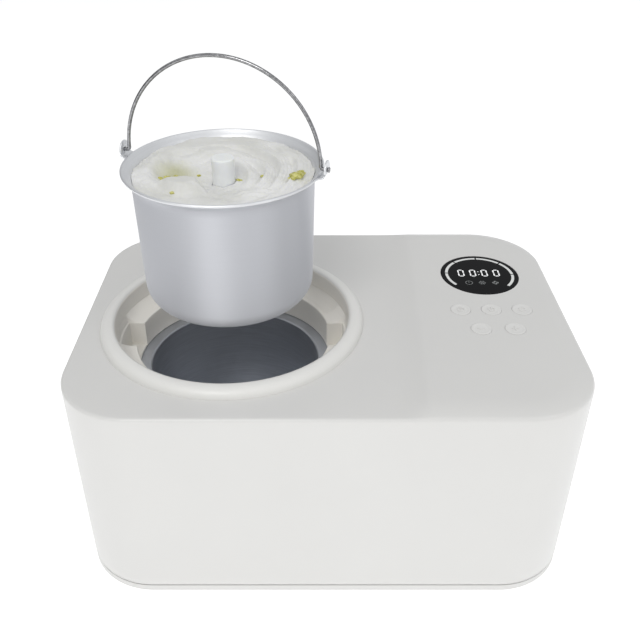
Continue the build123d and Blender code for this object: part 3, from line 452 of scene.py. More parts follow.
# lighter copy of the bowl aluminium for the bowl's inside, its brim and the ears: painted light
BOWL_METAL_PAINTED_LIGHT = metal("bowl_aluminium_painted_light", (0.82, 0.83, 0.85), 0.5, (1, 1, 60), 30, 0.02, 0.02, spun=0.3)
WIRE_METAL = metal("bail_wire", (0.33, 0.33, 0.34), 0.2, scale=420.0, depth=0.3, vary=0.25)
WELL_METAL = metal("well_metal", (0.56, 0.58, 0.62), 0.5, stretch=(1, 1, 25), scale=40, depth=0.02)
STEEL = metal("plated_steel", (0.55, 0.55, 0.54), 0.32, scale=150.0)
COPPER = metal("drawn_copper", (0.78, 0.38, 0.23), 0.28, scale=90.0, vary=0.12)
FINS = metal("mill_aluminium", (0.72, 0.73, 0.74), 0.34, stretch=(1, 12, 1), scale=80.0)
BRONZE = metal("sintered_bronze", (0.60, 0.42, 0.20), 0.45, scale=400.0, depth=0.2)
RUBBER = plastic("black_rubber", (0.03, 0.03, 0.03), 0.75, vary=0.12, grain=1400.0, grain_depth=0.12)
BLACK = plastic("black_plastic", (0.02, 0.02, 0.021), 0.5, vary=0.15)
ENAMEL = plastic("black_enamel", (0.012, 0.012, 0.013), 0.25, vary=0.2, coat=0.5)
ACETAL = plastic("natural_acetal", (0.80, 0.77, 0.66), 0.42, subsurface=0.2)
FOAM = plastic("foam_skin", (0.78, 0.70, 0.48), 0.85, vary=0.08, grain=260.0, grain_depth=0.6)
BOARD = plastic("solder_mask", (0.02, 0.12, 0.05), 0.3, vary=0.2, grain=500.0, coat=0.3)
FROST = plastic("frosted_guide", (0.72, 0.73, 0.73), 0.5)
CABLE = plastic("grey_vinyl", (0.35, 0.35, 0.36), 0.5)

NODE_MATERIALS = {
    "base_tray": TRAY, "rubber_feet": RUBBER, "base_screws": STEEL, "light_guide": FROST,
    "led_module": BLACK, "display_board": BOARD, "tact_switches": BLACK, "board_screws": STEEL,
    "evaporator_well": WELL_METAL, "evaporator_coil": COPPER, "insulation_jacket": FOAM,
    "temperature_sensor": BLACK, "paddle": PADDLE_WHITE, "gearbox_housing": BLACK,
    "gearbox_cover": BLACK, "gearbox_screws": STEEL, "drive_shaft": STEEL, "output_gear": ACETAL,
    "reduction_gear": ACETAL, "idler_pin": STEEL, "lower_bushing": BRONZE, "upper_bushing": BRONZE,
    "shaft_seal": RUBBER, "motor_pinion": STEEL, "drive_motor": STEEL, "compressor": ENAMEL,
    "compressor_base": ENAMEL, "compressor_grommets": RUBBER, "terminal_cover": BLACK,
    "condenser": FINS, "fan_frame": BLACK, "fan_motor": BLACK, "fan_rotor": BLACK,
    "fan_screws": STEEL, "filter_drier": COPPER, "suction_tube": COPPER, "discharge_tube": COPPER,
    "liquid_tube": COPPER, "capillary_tube": COPPER, "power_board": BOARD, "power_inlet": BLACK,
    "ribbon_cable": CABLE, "display_window": WINDOW_BLACK,
}


def dress_cad_nodes():
    """Materials of the CAD nodes that keep their own shapes."""
    for name, material in NODE_MATERIALS.items():
        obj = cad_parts[name]
        obj.data.materials.clear()
        obj.data.materials.append(material)


# ---- casing ----
def deck_holes():
    """Centre, radius and number of points of each round hole in the deck."""
    holes = [(CENTRE.x, CENTRE.y, COLLAR_HOLE_R, COLLAR_HOLE_STEPS),
             (WINDOW.x, WINDOW.y, WINDOW_HOLE_R, WINDOW_HOLE_STEPS)]
    for name in KEY_NAMES:
        low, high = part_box(name)
        holes.append(((low.x + high.x) / 2, (low.y + high.y) / 2, KEY_HOLE_R, KEY_HOLE_STEPS))
    return holes


def in_hole(x, y, holes, scale=1.0, margin=0.0):
    """Whether a plan point lies in a hole, once its radius is scaled and grown by a margin."""
    return any(math.hypot(x - cx, y - cy) < radius * scale + margin for cx, cy, radius, _ in holes)


def deck_grid(holes):
    """Triangular grid of plan points, clear of the outline and the holes."""
    points = []
    margin = CLEAR_SHARE * DECK_STEP
    for row in range(int(2 * HALF_D / (DECK_STEP * ROW_SHARE)) + 1):
        y = -HALF_D + row * DECK_STEP * ROW_SHARE
        for column in range(int(2 * HALF_W / DECK_STEP) + 2):
            x = -HALF_W + (column + 0.5 * (row % 2)) * DECK_STEP
            if edge_distance(x, y) >= EDGE_R + margin and not in_hole(x, y, holes, margin=margin):
                points.append(Vector((x, y)))
    return points


def deck_mesh():
    """Top surface with its round holes, as a constrained triangulation."""
    holes = deck_holes()
    loops = [arc_points(cx, cy, radius, 0, 360, count)[:-1] for cx, cy, radius, count in holes]
    loops.append([outline_point(EDGE_R, index / OUTLINE_STEPS) for index in range(OUTLINE_STEPS)])
    points, edges = [], []
    for loop in loops:
        first = len(points)
        points += [Vector(point) for point in loop]
        edges += [(first + i, first + (i + 1) % len(loop)) for i in range(len(loop))]
    points += deck_grid(holes)
    flat, _, faces, *_ = delaunay_2d_cdt(points, edges, [], 0, POINT_TOLERANCE)
    bm = bmesh.new()
    verts = [bm.verts.new((p.x, p.y, DECK_Z + panel_rise(p.x, p.y))) for p in flat]
    for face in faces:
        middle = sum((flat[i] for i in face), Vector((0, 0))) / len(face)
        on_deck = edge_distance(middle.x, middle.y) >= EDGE_R - 0.01 * MM
        if on_deck and not in_hole(middle.x, middle.y, holes, scale=0.999):
            bm.faces.new([verts[i] for i in face])
    loose = [v for v in bm.verts if not v.link_faces]
    bmesh.ops.delete(bm, geom=loose, context="VERTS")
    return bm


def wall_rows():
    """Inset and height of each row of points, from the deck's edge down to the seam."""
    rows = []
    for x, z in arc_points(0, 0, EDGE_R, 90, 0, EDGE_STEPS):
        rows.append((EDGE_R - x, DECK_Z - EDGE_R + z))
    rows += [(0.0, DECK_Z - 12 * MM), (0.0, SHELL_LOW.z + 6 * MM), (0.0, SHELL_LOW.z + 0.6 * MM)]
    return rows + [(0.5 * MM, SHELL_LOW.z)]


def add_walls(bm):
    """Rounded top edge and upright walls down to the seam."""
    rings = []
    for inset, z in wall_rows():
        ring = []
        for i in range(OUTLINE_STEPS):
            x, y = outline_point(inset, i / OUTLINE_STEPS)
            rise = panel_rise(x, y) if inset > 0 and z > DECK_Z - EDGE_R else 0.0
            ring.append(bm.verts.new((x, y, z + rise)))
        rings.append(ring)
    for upper, lower in zip(rings, rings[1:]):
        join_rings(bm, upper, lower)
    bmesh.ops.remove_doubles(bm, verts=bm.verts, dist=MERGE_DISTANCE)


def add_slot(bm, centre, long_axis, long_half, through_axis):
    """Round-ended bar along one axis that passes through a wall along another."""
    across_axis = 3 - long_axis - through_axis
    near, far = [], []
    for side in (1, -1):
        for index in range(SLOT_END_STEPS + 1):
            angle = math.pi * (index / SLOT_END_STEPS - 0.5) + (0 if side > 0 else math.pi)
            spot = list(centre)
            spot[long_axis] += side * (long_half - SLOT_HALF_W) + SLOT_HALF_W * math.cos(angle)
            spot[across_axis] += SLOT_HALF_W * math.sin(angle)
            for ring, reach in ((near, -CUT_REACH), (far, CUT_REACH)):
                end = list(spot)
                end[through_axis] += reach
                ring.append(bm.verts.new(end))
    bm.faces.new(near)
    bm.faces.new(list(reversed(far)))
    join_rings(bm, far, near)


def wall_cutter():
    """Bars that cut the air slots and a block that cuts the inlet's opening."""
    bm = bmesh.new()
    for index in range(SIDE_SLOTS):
        z = SIDE_SLOT_Z + index * SLOT_PITCH
        add_slot(bm, (HALF_W, RIGHT_SLOT_Y, z), 1, SIDE_SLOT_HALF, 0)
        add_slot(bm, (-HALF_W, LEFT_SLOT_Y, z), 1, SIDE_SLOT_HALF, 0)
    for index in range(BACK_SLOTS):
        add_slot(bm, (BACK_SLOT_X + index * SLOT_PITCH, HALF_D, BACK_SLOT_Z), 2, BACK_SLOT_HALF, 1)
    half_x = (INLET_HIGH.x - INLET_LOW.x) / 2 - INLET_FLANGE_X
    add_block(bm, (INLET_LOW.x + INLET_HIGH.x) / 2, HALF_D, INLET_LOW.z + INLET_FLANGE_Z,
              INLET_HIGH.z - INLET_FLANGE_Z, half_x, CUT_REACH)
    return add_object("wall_cutter", bm, smooth=False)


def make_housing():
    """The white casing that stands for the CAD shell."""
    bm = deck_mesh()
    add_walls(bm)
    casing = add_object("housing_casing", bm, HOUSING)
    thick = casing.modifiers.new("thickness", "SOLIDIFY")
    thick.thickness = WALL_T
    thick.offset = -1
    thick.use_even_offset = True
    apply_modifiers(casing)
    cutter = wall_cutter()
    cut = casing.modifiers.new("slots", "BOOLEAN")
    cut.operation = "DIFFERENCE"
    cut.object = cutter
    cut.solver = "EXACT"
    apply_modifiers(casing)
    bpy.data.objects.remove(cutter)
    shade_by_angle(casing, 40)
    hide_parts("housing_shell")
    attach(casing, "machine")


# ---- collar ----
def make_collar_lip():
    """Soft raised lip round the opening; its inner face takes a lighter, warmer copy of the collar plastic,
    painted light on the shaded bore.
    """
    profile = [(LIP_INNER_R, LIP_SKIRT_Z), (LIP_INNER_R, DECK_Z)]
    rounded_r = LIP_INNER_R + LIP_ROUND
    profile += arc_points(rounded_r, COLLAR_HIGH.z - LIP_ROUND, LIP_ROUND, 180, 90, 8)
    for index in range(1, LIP_SLOPE_STEPS):
        share = index / LIP_SLOPE_STEPS
        fall = math.sqrt(1 - share ** LIP_SLOPE_POWER)
        profile.append((mix(rounded_r, LIP_OUTER_R, share), DECK_Z + LIP_H * fall))
    profile += [(LIP_OUTER_R, DECK_Z + LIP_EDGE_H), (LIP_OUTER_R, DECK_Z + DECK_GAP)]
    profile += [(LIP_SKIRT_R, DECK_Z + DECK_GAP), (LIP_SKIRT_R, LIP_SKIRT_Z)]
    lip = turned("collar_lip", [profile] * LIP_SEGMENTS, CENTRE, COLLAR)
    lip.data.materials.append(COLLAR_INSIDE_PAINTED_LIGHT)
    # faces on the lip's inner face take the lighter copy of the collar plastic: painted light
    for polygon in lip.data.polygons:
        radius = math.hypot(polygon.center.x - CENTRE.x, polygon.center.y - CENTRE.y)
        if radius < LIP_INNER_R + 0.5 * MM:
            polygon.material_index = 1
    shade_by_angle(lip)
    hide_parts("opening_collar")
    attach(lip, "machine")


def liner_profile(pocket, recess):
    """Inner profile of the collar below its lip, eased between sleeve, pocket and recess."""
    edge_r = mix(SLEEVE_R, POCKET_R, pocket)
    round_r = edge_r + LEDGE_ROUND
    points = [(103.9 * MM, LIP_SKIRT_Z), (103.3 * MM, LEDGE_TOP_Z)]
    for index in range(1, LEDGE_STEPS + 1):
        share = index / LEDGE_STEPS
        sag = 1 - (1 - share) ** LEDGE_SAG_POWER
        z = mix(LEDGE_TOP_Z - 0.4 * MM, LEDGE_EDGE_Z, sag)
        z -= recess * RECESS_DEPTH * math.sin(math.pi * share) ** 0.5
        points.append((mix(LIP_INNER_R, round_r, share), z))
    points += arc_points(round_r, LEDGE_EDGE_Z - LEDGE_ROUND, LEDGE_ROUND, 90, 180, 4)
    wall_low = mix(SLEEVE_BASE_Z + 0.6 * MM, POCKET_FLOOR_Z, pocket)
    for index in range(1, 5):
        low = wall_low + 1.5 * MM * pocket
        points.append((edge_r, mix(LEDGE_EDGE_Z - LEDGE_ROUND, low, index / 4)))
    for index in range(5):
        points.append((mix(edge_r - 0.4 * MM * pocket, SLEEVE_R, index / 4), wall_low))
    back_r = mix(SLEEVE_R + SLEEVE_T, POCKET_WALL_R, pocket)
    points += [(SLEEVE_R, SLEEVE_BASE_Z), (back_r, SLEEVE_BASE_Z), (back_r, LEDGE_EDGE_Z - 5 * MM)]
    return points + [(LINER_BACK_R, LINER_BACK_Z), (LINER_BACK_R, LIP_SKIRT_Z)]


def make_collar_liner():
    """Sloping ledge, sleeve and ear pockets of the collar."""
    sections = []
    for index in range(LINER_SEGMENTS):
        degrees = 360 * index / LINER_SEGMENTS
        off_axis = abs((degrees + 90) % 180 - 90)
        pocket = 1 - smooth_step(*POCKET_DEGREES, off_axis)
        starts, ends = RECESS_DEGREES
        recess = smooth_step(*starts, degrees) * (1 - smooth_step(*ends, degrees))
        sections.append(liner_profile(pocket, recess))
    # ledge, sleeve and pockets take the lighter copy of the collar plastic: painted light
    liner = turned("collar_liner", sections, CENTRE, COLLAR_INSIDE_PAINTED_LIGHT)
    shade_by_angle(liner)
    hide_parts("opening_collar")
    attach(liner, "machine")


# ---- bowl ----
def bowl_point(along, across, z):
    """Point in the bowl's own axes: along the ears, across them, and up."""
    return Vector((CENTRE.x, CENTRE.y, z)) + EAR_DIR * along + EAR_SIDE * across


def make_bowl():
    """Spun bowl with a soft corner, a flared brim, a rolled edge and the centre tube."""
    corner_r = BOWL_BASE_R - BOWL_CORNER
    corner_z = BOWL_BOTTOM + BOWL_CORNER
    profile = [(corner_r * 0.5, BOWL_BOTTOM)]
    profile += arc_points(corner_r, corner_z, BOWL_CORNER, -90, 0, 14)
    profile += in_metres(FLARE_OUTSIDE)
    profile += arc_points(*BEAD, -80, 150, 10)
    profile += in_metres(FLARE_INSIDE)
    profile += arc_points(corner_r, corner_z, BOWL_CORNER - BOWL_WALL, 0, -90, 14)
    profile += [(TUBE_R, BOWL_BOTTOM + BOWL_WALL), (TUBE_R, TUBE_TOP)]
    profile += [(TUBE_BORE_R, TUBE_TOP), (TUBE_BORE_R, BOWL_BOTTOM)]
    bowl = turned("bowl_shell", [profile] * BOWL_SEGMENTS, CENTRE, BOWL_METAL)
    bowl.data.materials.append(BOWL_METAL_PAINTED_LIGHT)
    # faces inside the bowl above its corner, and the brim beyond BRIM_R, take the lighter copy of the
    # aluminium: painted light
    for polygon in bowl.data.polygons:
        x = polygon.center.x - CENTRE.x
        y = polygon.center.y - CENTRE.y
        inward = polygon.normal.x * x + polygon.normal.y * y < 0
        if polygon.center.z > corner_z and (inward or math.hypot(x, y) > BRIM_R):
            polygon.material_index = 1
    shade_by_angle(bowl)
    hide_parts("bowl")
    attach(bowl, "bowl")


def ear_edge(angle):
    """Distance from the pivot to the ear's edge: straight below the shoulder, rounded above it."""
    across, up = math.cos(angle), math.sin(angle)
    if up < EAR_SHOULDER:
        bottom = EAR_NECK[-1][1] * MM - PIVOT_Z
        return min(EAR_HALF / max(abs(across), 1e-6), bottom / up)
    return mix(EAR_HALF, EAR_TOP_R, smooth_step(EAR_SHOULDER, EAR_CROWN, up))


def make_ear(side, name):
    """Pressed tab, bent up beyond the brim, with a round hole and softened edges."""
    bm = bmesh.new()
    strips = []
    for r, z in in_metres(EAR_NECK):
        strips.append([bm.verts.new(bowl_point(side * r, side * EAR_HALF * w, z)) for w in EAR_ACROSS])
    for a, b in zip(strips, strips[1:]):
        for i in range(len(EAR_ACROSS) - 1):
            bm.faces.new((a[i], a[i + 1], b[i + 1], b[i]))
    edge, hole = [], []
    for index in range(EAR_STEPS):
        angle = 2 * math.pi * index / EAR_STEPS - math.pi / 2
        for ring, reach in ((edge, ear_edge(angle)), (hole, EAR_HOLE_R)):
            across = side * math.cos(angle) * reach
            up = PIVOT_Z + math.sin(angle) * reach
            ring.append(bm.verts.new(bowl_point(side * EAR_PLATE_R, across, up)))
    join_rings(bm, edge, hole)
    # the ear takes the lighter copy of the bowl aluminium: painted light
    ear = add_object(name, bm, BOWL_METAL_PAINTED_LIGHT)
    thicken = ear.modifiers.new("gauge", "SOLIDIFY")
    thicken.thickness = EAR_T
    thicken.offset = 0
    soften_edges(ear, 0.25 * MM)
    apply_modifiers(ear)
    shade_by_angle(ear, 45)
    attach(ear, "bowl")


# ---- bail ----
def sweep_wire(name, path, radii, material, steps=20):
    """Round wire along a path of points with a radius at each."""
    bm = bmesh.new()
    rings = []
    side = (path[1] - path[0]).normalized().orthogonal().normalized()
    for index, point in enumerate(path):
        before = path[max(index - 1, 0)]
        after = path[min(index + 1, len(path) - 1)]
        tangent = (after - before).normalized()
        side = (side - tangent * side.dot(tangent)).normalized()
        other = tangent.cross(side)
        ring = []
        for step in range(steps):
            angle = 2 * math.pi * step / steps
            offset = (side * math.cos(angle) + other * math.sin(angle)) * radii[index]
            ring.append(bm.verts.new(point + offset))
        rings.append(ring)
    for a, b in zip(rings, rings[1:]):
        join_rings(bm, a, b)
    bm.faces.new(rings[0])
    bm.faces.new(list(reversed(rings[-1])))
    return add_object(name, bm, material)


def make_bail():
    """Wire handle: half circle about the pivots, bent ends through the ears, peened outside them."""
    start = math.degrees(math.asin(BAIL_BEND_R / (BAIL_R + BAIL_BEND_R)))
    bend_x = (BAIL_R + BAIL_BEND_R) * math.cos(math.radians(start))
    half = [(x, 0.0, r) for x, r in BAIL_END]
    bend = arc_points(bend_x, BAIL_BEND_R, BAIL_BEND_R, -90, start - 180, 8)
    arch = arc_points(0, 0, BAIL_R, start, 90, 48)[1:]
    half += [(x, z, BAIL_WIRE_R) for x, z in bend + arch]
    full = half + [(-x, z, r) for x, z, r in reversed(half[:-1])]
    path = [bowl_point(x * MM, 0, PIVOT_Z + z * MM) for x, z, _ in full]
    bail = sweep_wire("bail_handle", path, [r * MM for _, _, r in full], WIRE_METAL)
    shade_by_angle(bail)
    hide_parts("bail")
    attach(bail, "bail")


# ---- ice cream, sizes in mm ----
CREAM_BASE_Z = 322.0
CREAM_TOP_Z = 342.0
CREAM_WALL_Z = 318.0
CREAM_FLOOR = (70.2, 293.0)
CREAM_HUB_R = 9.9
CREAM_SEGMENTS = 340
CREAM_ROWS = 110
# darker yellow-green patch in the hollow, partly yellow-green staining and partly painted shade of the
# hollow: centre in mm, fade-out distances in metres, strength
STAIN_AND_SHADE = (-40.0, 8.0, 331.0)
STAIN_AND_SHADE_REACH = (0.006, 0.022)
STAIN_AND_SHADE_STRENGTH = 0.9

# hollow on the left: centre, and how wide it is each way
HOLLOW = (-33, 2, 500.0, 130.0)
HOLLOW_DEPTH = 6.0

# folds wind outward round the hub: spacing, and degrees turned for each mm outward
FOLD_PITCH = 14.0
FOLD_TWIST = 14.0
FOLD_HEIGHT = 7.0
COMB_HEIGHT = 0.035
COMB_LINES = 5

# churned ridges: centre, radius, width, first and last angle, height
RIDGES = ((-4, 6, 56, 6.0, 70, 215, 3.5), (-2, 4, 38, 5.0, 60, 150, 3.0), (6, -6, 50, 5.0, 285, 345, 2.5))

# rounded mounds: centre, half length, half width, height, turn in degrees
LUMPS = (
    (-30, -24, 18, 10, 9.0, -12), (-26, -21, 10, 5.5, 4.0, 20), (-12, 46, 18, 8, 3.0, 10),
    (16, 54, 18, 7, 2.5, -15), (46, 30, 13, 8, 2.5, -50), (26, -32, 14, 8, 2.0, 10),
    (2, 24, 16, 9, 4.0, -8),
)

# height and radius of the bowl's inner face, a hair inside the metal
WALL_PROFILE = ((318.0, 70.9), (332.0, 71.3), (337.6, 71.9), (340.3, 73.1), (342.3, 75.0))

# green pieces: place and size
BITS = (
    (59, -15, 4.6), (62, -9, 3.0), (55, -20, 2.6), (12, 1, 2.2), (31, 6, 1.8),
    (-46, 4, 3.2), (-40, 8, 2.8), (-51, -2, 2.4), (-22, 13, 1.6), (-36, -34, 1.6),
)


def make_cream_material():
    """Soft churned ice cream: cool white, fine pores, and a darker yellow-green patch in the hollow that is
    partly yellow-green staining and partly painted shade of the hollow.
    """
    material, tree, shader = new_material("ice_cream")
    tone = noise_node(tree, 28.0, 5.0)
    white = ramp(tree, tone, (0.70, 0.70, 0.67), (0.80, 0.80, 0.79), 0.35, 0.6)
    stain_and_shade = ramp(tree, tone, (0.50, 0.50, 0.30), (0.66, 0.66, 0.52))
    place = tree.nodes.new("ShaderNodeTexCoord")
    reach = tree.nodes.new("ShaderNodeVectorMath")
    reach.operation = "DISTANCE"
    patch_x, patch_y, patch_z = STAIN_AND_SHADE
    reach.inputs[1].default_value = (CENTRE.x + patch_x * MM, CENTRE.y + patch_y * MM, patch_z * MM)
    tree.links.new(place.outputs["Object"], reach.inputs[0])
    # blend towards the darker yellow-green: staining and painted shade of the hollow
    blend = tree.nodes.new("ShaderNodeMix")
    blend.data_type = "RGBA"
    amount = remap(tree, reach.outputs["Value"], *STAIN_AND_SHADE_REACH, STAIN_AND_SHADE_STRENGTH, 0.0)
    tree.links.new(amount, blend.inputs["Factor"])
    tree.links.new(white, blend.inputs["A"])
    tree.links.new(stain_and_shade, blend.inputs["B"])
    tree.links.new(blend.outputs["Result"], shader.inputs["Base Color"])
    set_roughness(tree, shader, noise_node(tree, 70.0), 0.35, 0.6)
    bump(tree, shader, noise_node(tree, 380.0, 6.0), 0.35, 0.0006)
    set_subsurface(shader, 0.1, (0.003, 0.003, 0.002), 0.4)
    return material


def ridge(x, y, cx, cy, radius, width, start, end):
    """Strength of one churned ridge: an arc round a centre, fading at both ends."""
    dx, dy = x - cx, y - cy
    span = (end - start) % 360
    along = (math.degrees(math.atan2(dy, dx)) % 360 - start) % 360
    if along > span:
        return 0.0
    fade = math.sin(math.pi * along / span) ** 0.5
    off = (math.hypot(dx, dy) - radius) / width
    return fade * math.exp(-off * off)


def mound(x, y, cx, cy, half_x, half_y, size, turn):
    """Height of one rounded mound, faintly ribbed along its length."""
    angle = math.radians(turn)
    u = ((x - cx) * math.cos(angle) + (y - cy) * math.sin(angle)) / half_x
    v = (-(x - cx) * math.sin(angle) + (y - cy) * math.cos(angle)) / half_y
    return math.exp(-(u * u + v * v) ** 2.2) * (size + 0.5 * math.sin(9 * v + 2 * u))


def wall_radius(z):
    """Radius at which the ice cream meets the inside of the bowl."""
    for (z0, r0), (z1, r1) in zip(WALL_PROFILE, WALL_PROFILE[1:]):
        if z <= z1:
            return mix(r0, r1, max(0.0, (z - z0) / (z1 - z0)))
    return WALL_PROFILE[-1][1]


def swirl(x, y):
    """Overlapping folds that wind outward round the hub, strongest at the back and right."""
    radius = math.hypot(x, y)
    angle = math.degrees(math.atan2(y, x))
    wander = 4.0 * noise.noise(Vector((x, y, 20.0)) * 0.04)
    phase = (radius + wander - angle / FOLD_TWIST) / FOLD_PITCH
    share = phase - math.floor(phase)
    fold = smooth_step(0.0, 0.3, share) - share
    combed = COMB_HEIGHT * math.sin(2 * math.pi * COMB_LINES * phase)
    window = smooth_step(-60, -5, angle) * (1 - smooth_step(105, 165, angle))
    fade = smooth_step(13, 26, radius) * (1 - 0.5 * smooth_step(60, 72, radius))
    return (fold + combed) * window * fade


def cream_height(x, y):
    """Surface of the ice cream above its lowest level: a dish with a hollow, folds and mounds."""
    radius = math.hypot(x, y)
    rise = mix(0.35, 1.0, smooth_step(-60, -5, y))
    height = 8.5 + 8.0 * rise * smooth_step(14, 70, radius) + 0.8 * smooth_step(0, 50, y)
    hollow_x, hollow_y, wide, deep = HOLLOW
    height -= HOLLOW_DEPTH * math.exp(-((x - hollow_x) ** 2 / wide + (y - hollow_y) ** 2 / deep))
    height += FOLD_HEIGHT * swirl(x, y)
    for *shape, size in RIDGES:
        height += size * ridge(x, y, *shape)
    for lump in LUMPS:
        height += mound(x, y, *lump)
    height += 1.6 * noise.fractal(Vector((x, y, 3.0)) * 0.05, 1.0, 2.0, 4)
    height += 0.45 * noise.fractal(Vector((x, y, 9.0)) * 0.25, 0.9, 2.0, 3)
    near_hub = 1 - smooth_step(9, 20, radius)
    foot = mix(11.0, 16.0, smooth_step(-9, 14, y)) + 3.0 * (1 - smooth_step(9.5, 14, radius)) ** 2
    return mix(height, min(height, foot), near_hub)


def cream_section(x, y):
    """One radial section of the ice cream along a plan direction, out to the wall and back below."""
    def surface(radius):
        return min(CREAM_TOP_Z, CREAM_BASE_Z + cream_height(radius * x, radius * y))

    edge_z = surface(72)
    edge_r = wall_radius(edge_z)
    radii = [mix(CREAM_HUB_R, edge_r, row / CREAM_ROWS) for row in range(CREAM_ROWS + 1)]
    section = [(radius, surface(radius)) for radius in radii]
    for index in range(1, 5):
        z = mix(edge_z, CREAM_WALL_Z, index / 4)
        section.append((wall_radius(z), z))
    return in_metres(section + [CREAM_FLOOR, (CREAM_HUB_R, CREAM_FLOOR[1])])


def make_ice_cream():
    """Churned ice cream as one closed ring between the hub and the bowl."""
    sections = []
    for index in range(CREAM_SEGMENTS):
        angle = 2 * math.pi * index / CREAM_SEGMENTS
        sections.append(cream_section(math.cos(angle), math.sin(angle)))
    cream = turned("ice_cream_surface", sections, CENTRE, make_cream_material())
    shade_by_angle(cream, 60)
    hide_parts("ice_cream")
    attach(cream, "contents")


def make_bits_material():
    """Wet yellow-green fruit."""
    material, tree, shader = new_material("fruit_bits")
    colour = ramp(tree, noise_node(tree, 400.0), (0.42, 0.40, 0.06), (0.72, 0.70, 0.28))
    tree.links.new(colour, shader.inputs["Base Color"])
    set_roughness(tree, shader, noise_node(tree, 300.0), 0.3, 0.6)
    set_subsurface(shader, 0.4, (0.002, 0.002, 0.0008))
    return material


def make_bits():
    """Chopped green pieces, half sunk in the ice cream."""
    bm = bmesh.new()
    for index, (x, y, size) in enumerate(BITS):
        made = bmesh.ops.create_icosphere(bm, subdivisions=3, radius=size * MM)
        z = CREAM_BASE_Z + cream_height(x, y) - 0.1 * size
        place = Vector((CENTRE.x + x * MM, CENTRE.y + y * MM, z * MM))
        seed = Vector((index * 7.0, 0, 0))
        for vert in made["verts"]:
            push = 1 + 0.45 * noise.noise(vert.co * 420 + seed) + 0.2 * noise.noise(vert.co * 1100 + seed)
            flattened = Vector((vert.co.x * 1.2, vert.co.y * 0.9, vert.co.z * 0.6))
            vert.co = flattened * push + place
    bits = add_object("fruit_bits", bm, make_bits_material())
    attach(bits, "contents")


# ---- display ----
PRINT_LOW = WINDOW_HIGH.z + 0.01 * MM
PRINT_HIGH = PRINT_LOW + 0.06 * MM
RING_SEGMENTS = 6
RING_START = -42
RING_STEP = 43.6
RING_SPAN = 41.0
RING_R = (30.2 * MM, 32.8 * MM)
DIGIT_X = (-17.4, -6.1, 5.1, 16.6)
DIGIT_Y = 2.8 * MM
DIGIT_SIZE = (4.8 * MM, 11.4 * MM, 1.2 * MM)
DIGIT_GAP = 0.35 * MM
COLON_X = -0.6 * MM
COLON_Y = (-0.2, 5.2)
DOT_R = (0.05 * MM, 0.6 * MM)
SYMBOL_X = 12.5 * MM
SYMBOL_Y = -15.5 * MM
FULL_TURN = 359     # a hair short, so that a band's two ends do not share points


def glow(name, colour, strength):
    """Softly lit print on the window, with slightly uneven tone."""
    material, tree, shader = new_material(name)
    light = ramp(tree, noise_node(tree, 500.0), tuple(c * 0.92 for c in colour), colour)
    tree.links.new(light, shader.inputs["Base Color"])
    tree.links.new(light, shader.inputs["Emission Color"])
    shader.inputs["Emission Strength"].default_value = strength
    shader.inputs["Roughness"].default_value = 0.5
    return material


def add_print(bm, points):
    """One printed mark on the window."""
    add_plate(bm, points, PRINT_LOW, PRINT_HIGH)


def finish_print(name, bm, material):
    """Makes the printed marks one piece of the machine."""
    marks = add_object(name, bm, material, smooth=False)
    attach(marks, "machine")


def digit_bar(cx, cy, half_length, stroke, upright):
    """Six-cornered bar of a seven-segment digit, lying or upright."""
    tip = half_length - DIGIT_GAP
    shoulder = half_length - stroke
    if upright:
        shoulder = half_length - stroke / 2 - DIGIT_GAP
    corners = [(-tip, 0), (-shoulder, -stroke / 2), (shoulder, -stroke / 2),
               (tip, 0), (shoulder, stroke / 2), (-shoulder, stroke / 2)]
    if upright:
        return [(cx - v, cy + u) for u, v in corners]
    return [(cx + u, cy + v) for u, v in corners]


def add_zero(bm, cx, cy):
    """The six bars of a seven-segment zero."""
    width, height, stroke = DIGIT_SIZE
    for side in (-1, 1):
        add_print(bm, digit_bar(cx, cy + side * height / 2, width / 2, stroke, False))
    for side in (-1, 1):
        for half in (-1, 1):
            place = (cx + side * width / 2, cy + half * height / 4)
            add_print(bm, digit_bar(*place, height / 4, stroke, True))


def make_display_ring():
    """Ring of arc segments round the edge of the window."""
    bm = bmesh.new()
    for segment in range(RING_SEGMENTS):
        start = RING_START + RING_STEP * segment
        add_print(bm, arc_band(WINDOW.x, WINDOW.y, *RING_R, start, start + RING_SPAN))
    finish_print("display_ring", bm, glow("display_grey", (0.62, 0.63, 0.62), 0.25))


def make_display_digits():
    """Four digits with a colon."""
    bm = bmesh.new()
    for dx in DIGIT_X:
        add_zero(bm, WINDOW.x + dx * MM, WINDOW.y + DIGIT_Y)
    for dy in COLON_Y:
        add_print(bm, arc_band(WINDOW.x + COLON_X, WINDOW.y + dy * MM, *DOT_R, 0, FULL_TURN, 16))
    finish_print("display_digits", bm, glow("display_white", (0.90, 0.91, 0.91), 0.4))


def add_clock(bm, cx, cy):
    """Clock symbol: a ring with one hand."""
    add_print(bm, arc_band(cx, cy, 3.0 * MM, 3.5 * MM, 0, FULL_TURN, 40))
    add_block(bm, cx, cy + 1.1 * MM, PRINT_LOW, PRINT_HIGH, 0.25 * MM, 1.1 * MM)


def add_flake_bar(bm, x, y, length, turn, half_width):
    """Straight bar of the snowflake symbol from a point in a direction."""
    ux, uy = math.cos(turn), math.sin(turn)
    corners = ((0, -half_width), (length, -half_width), (length, half_width), (0, half_width))
    add_print(bm, [(x + ux * u - uy * v, y + uy * u + ux * v) for u, v in corners])


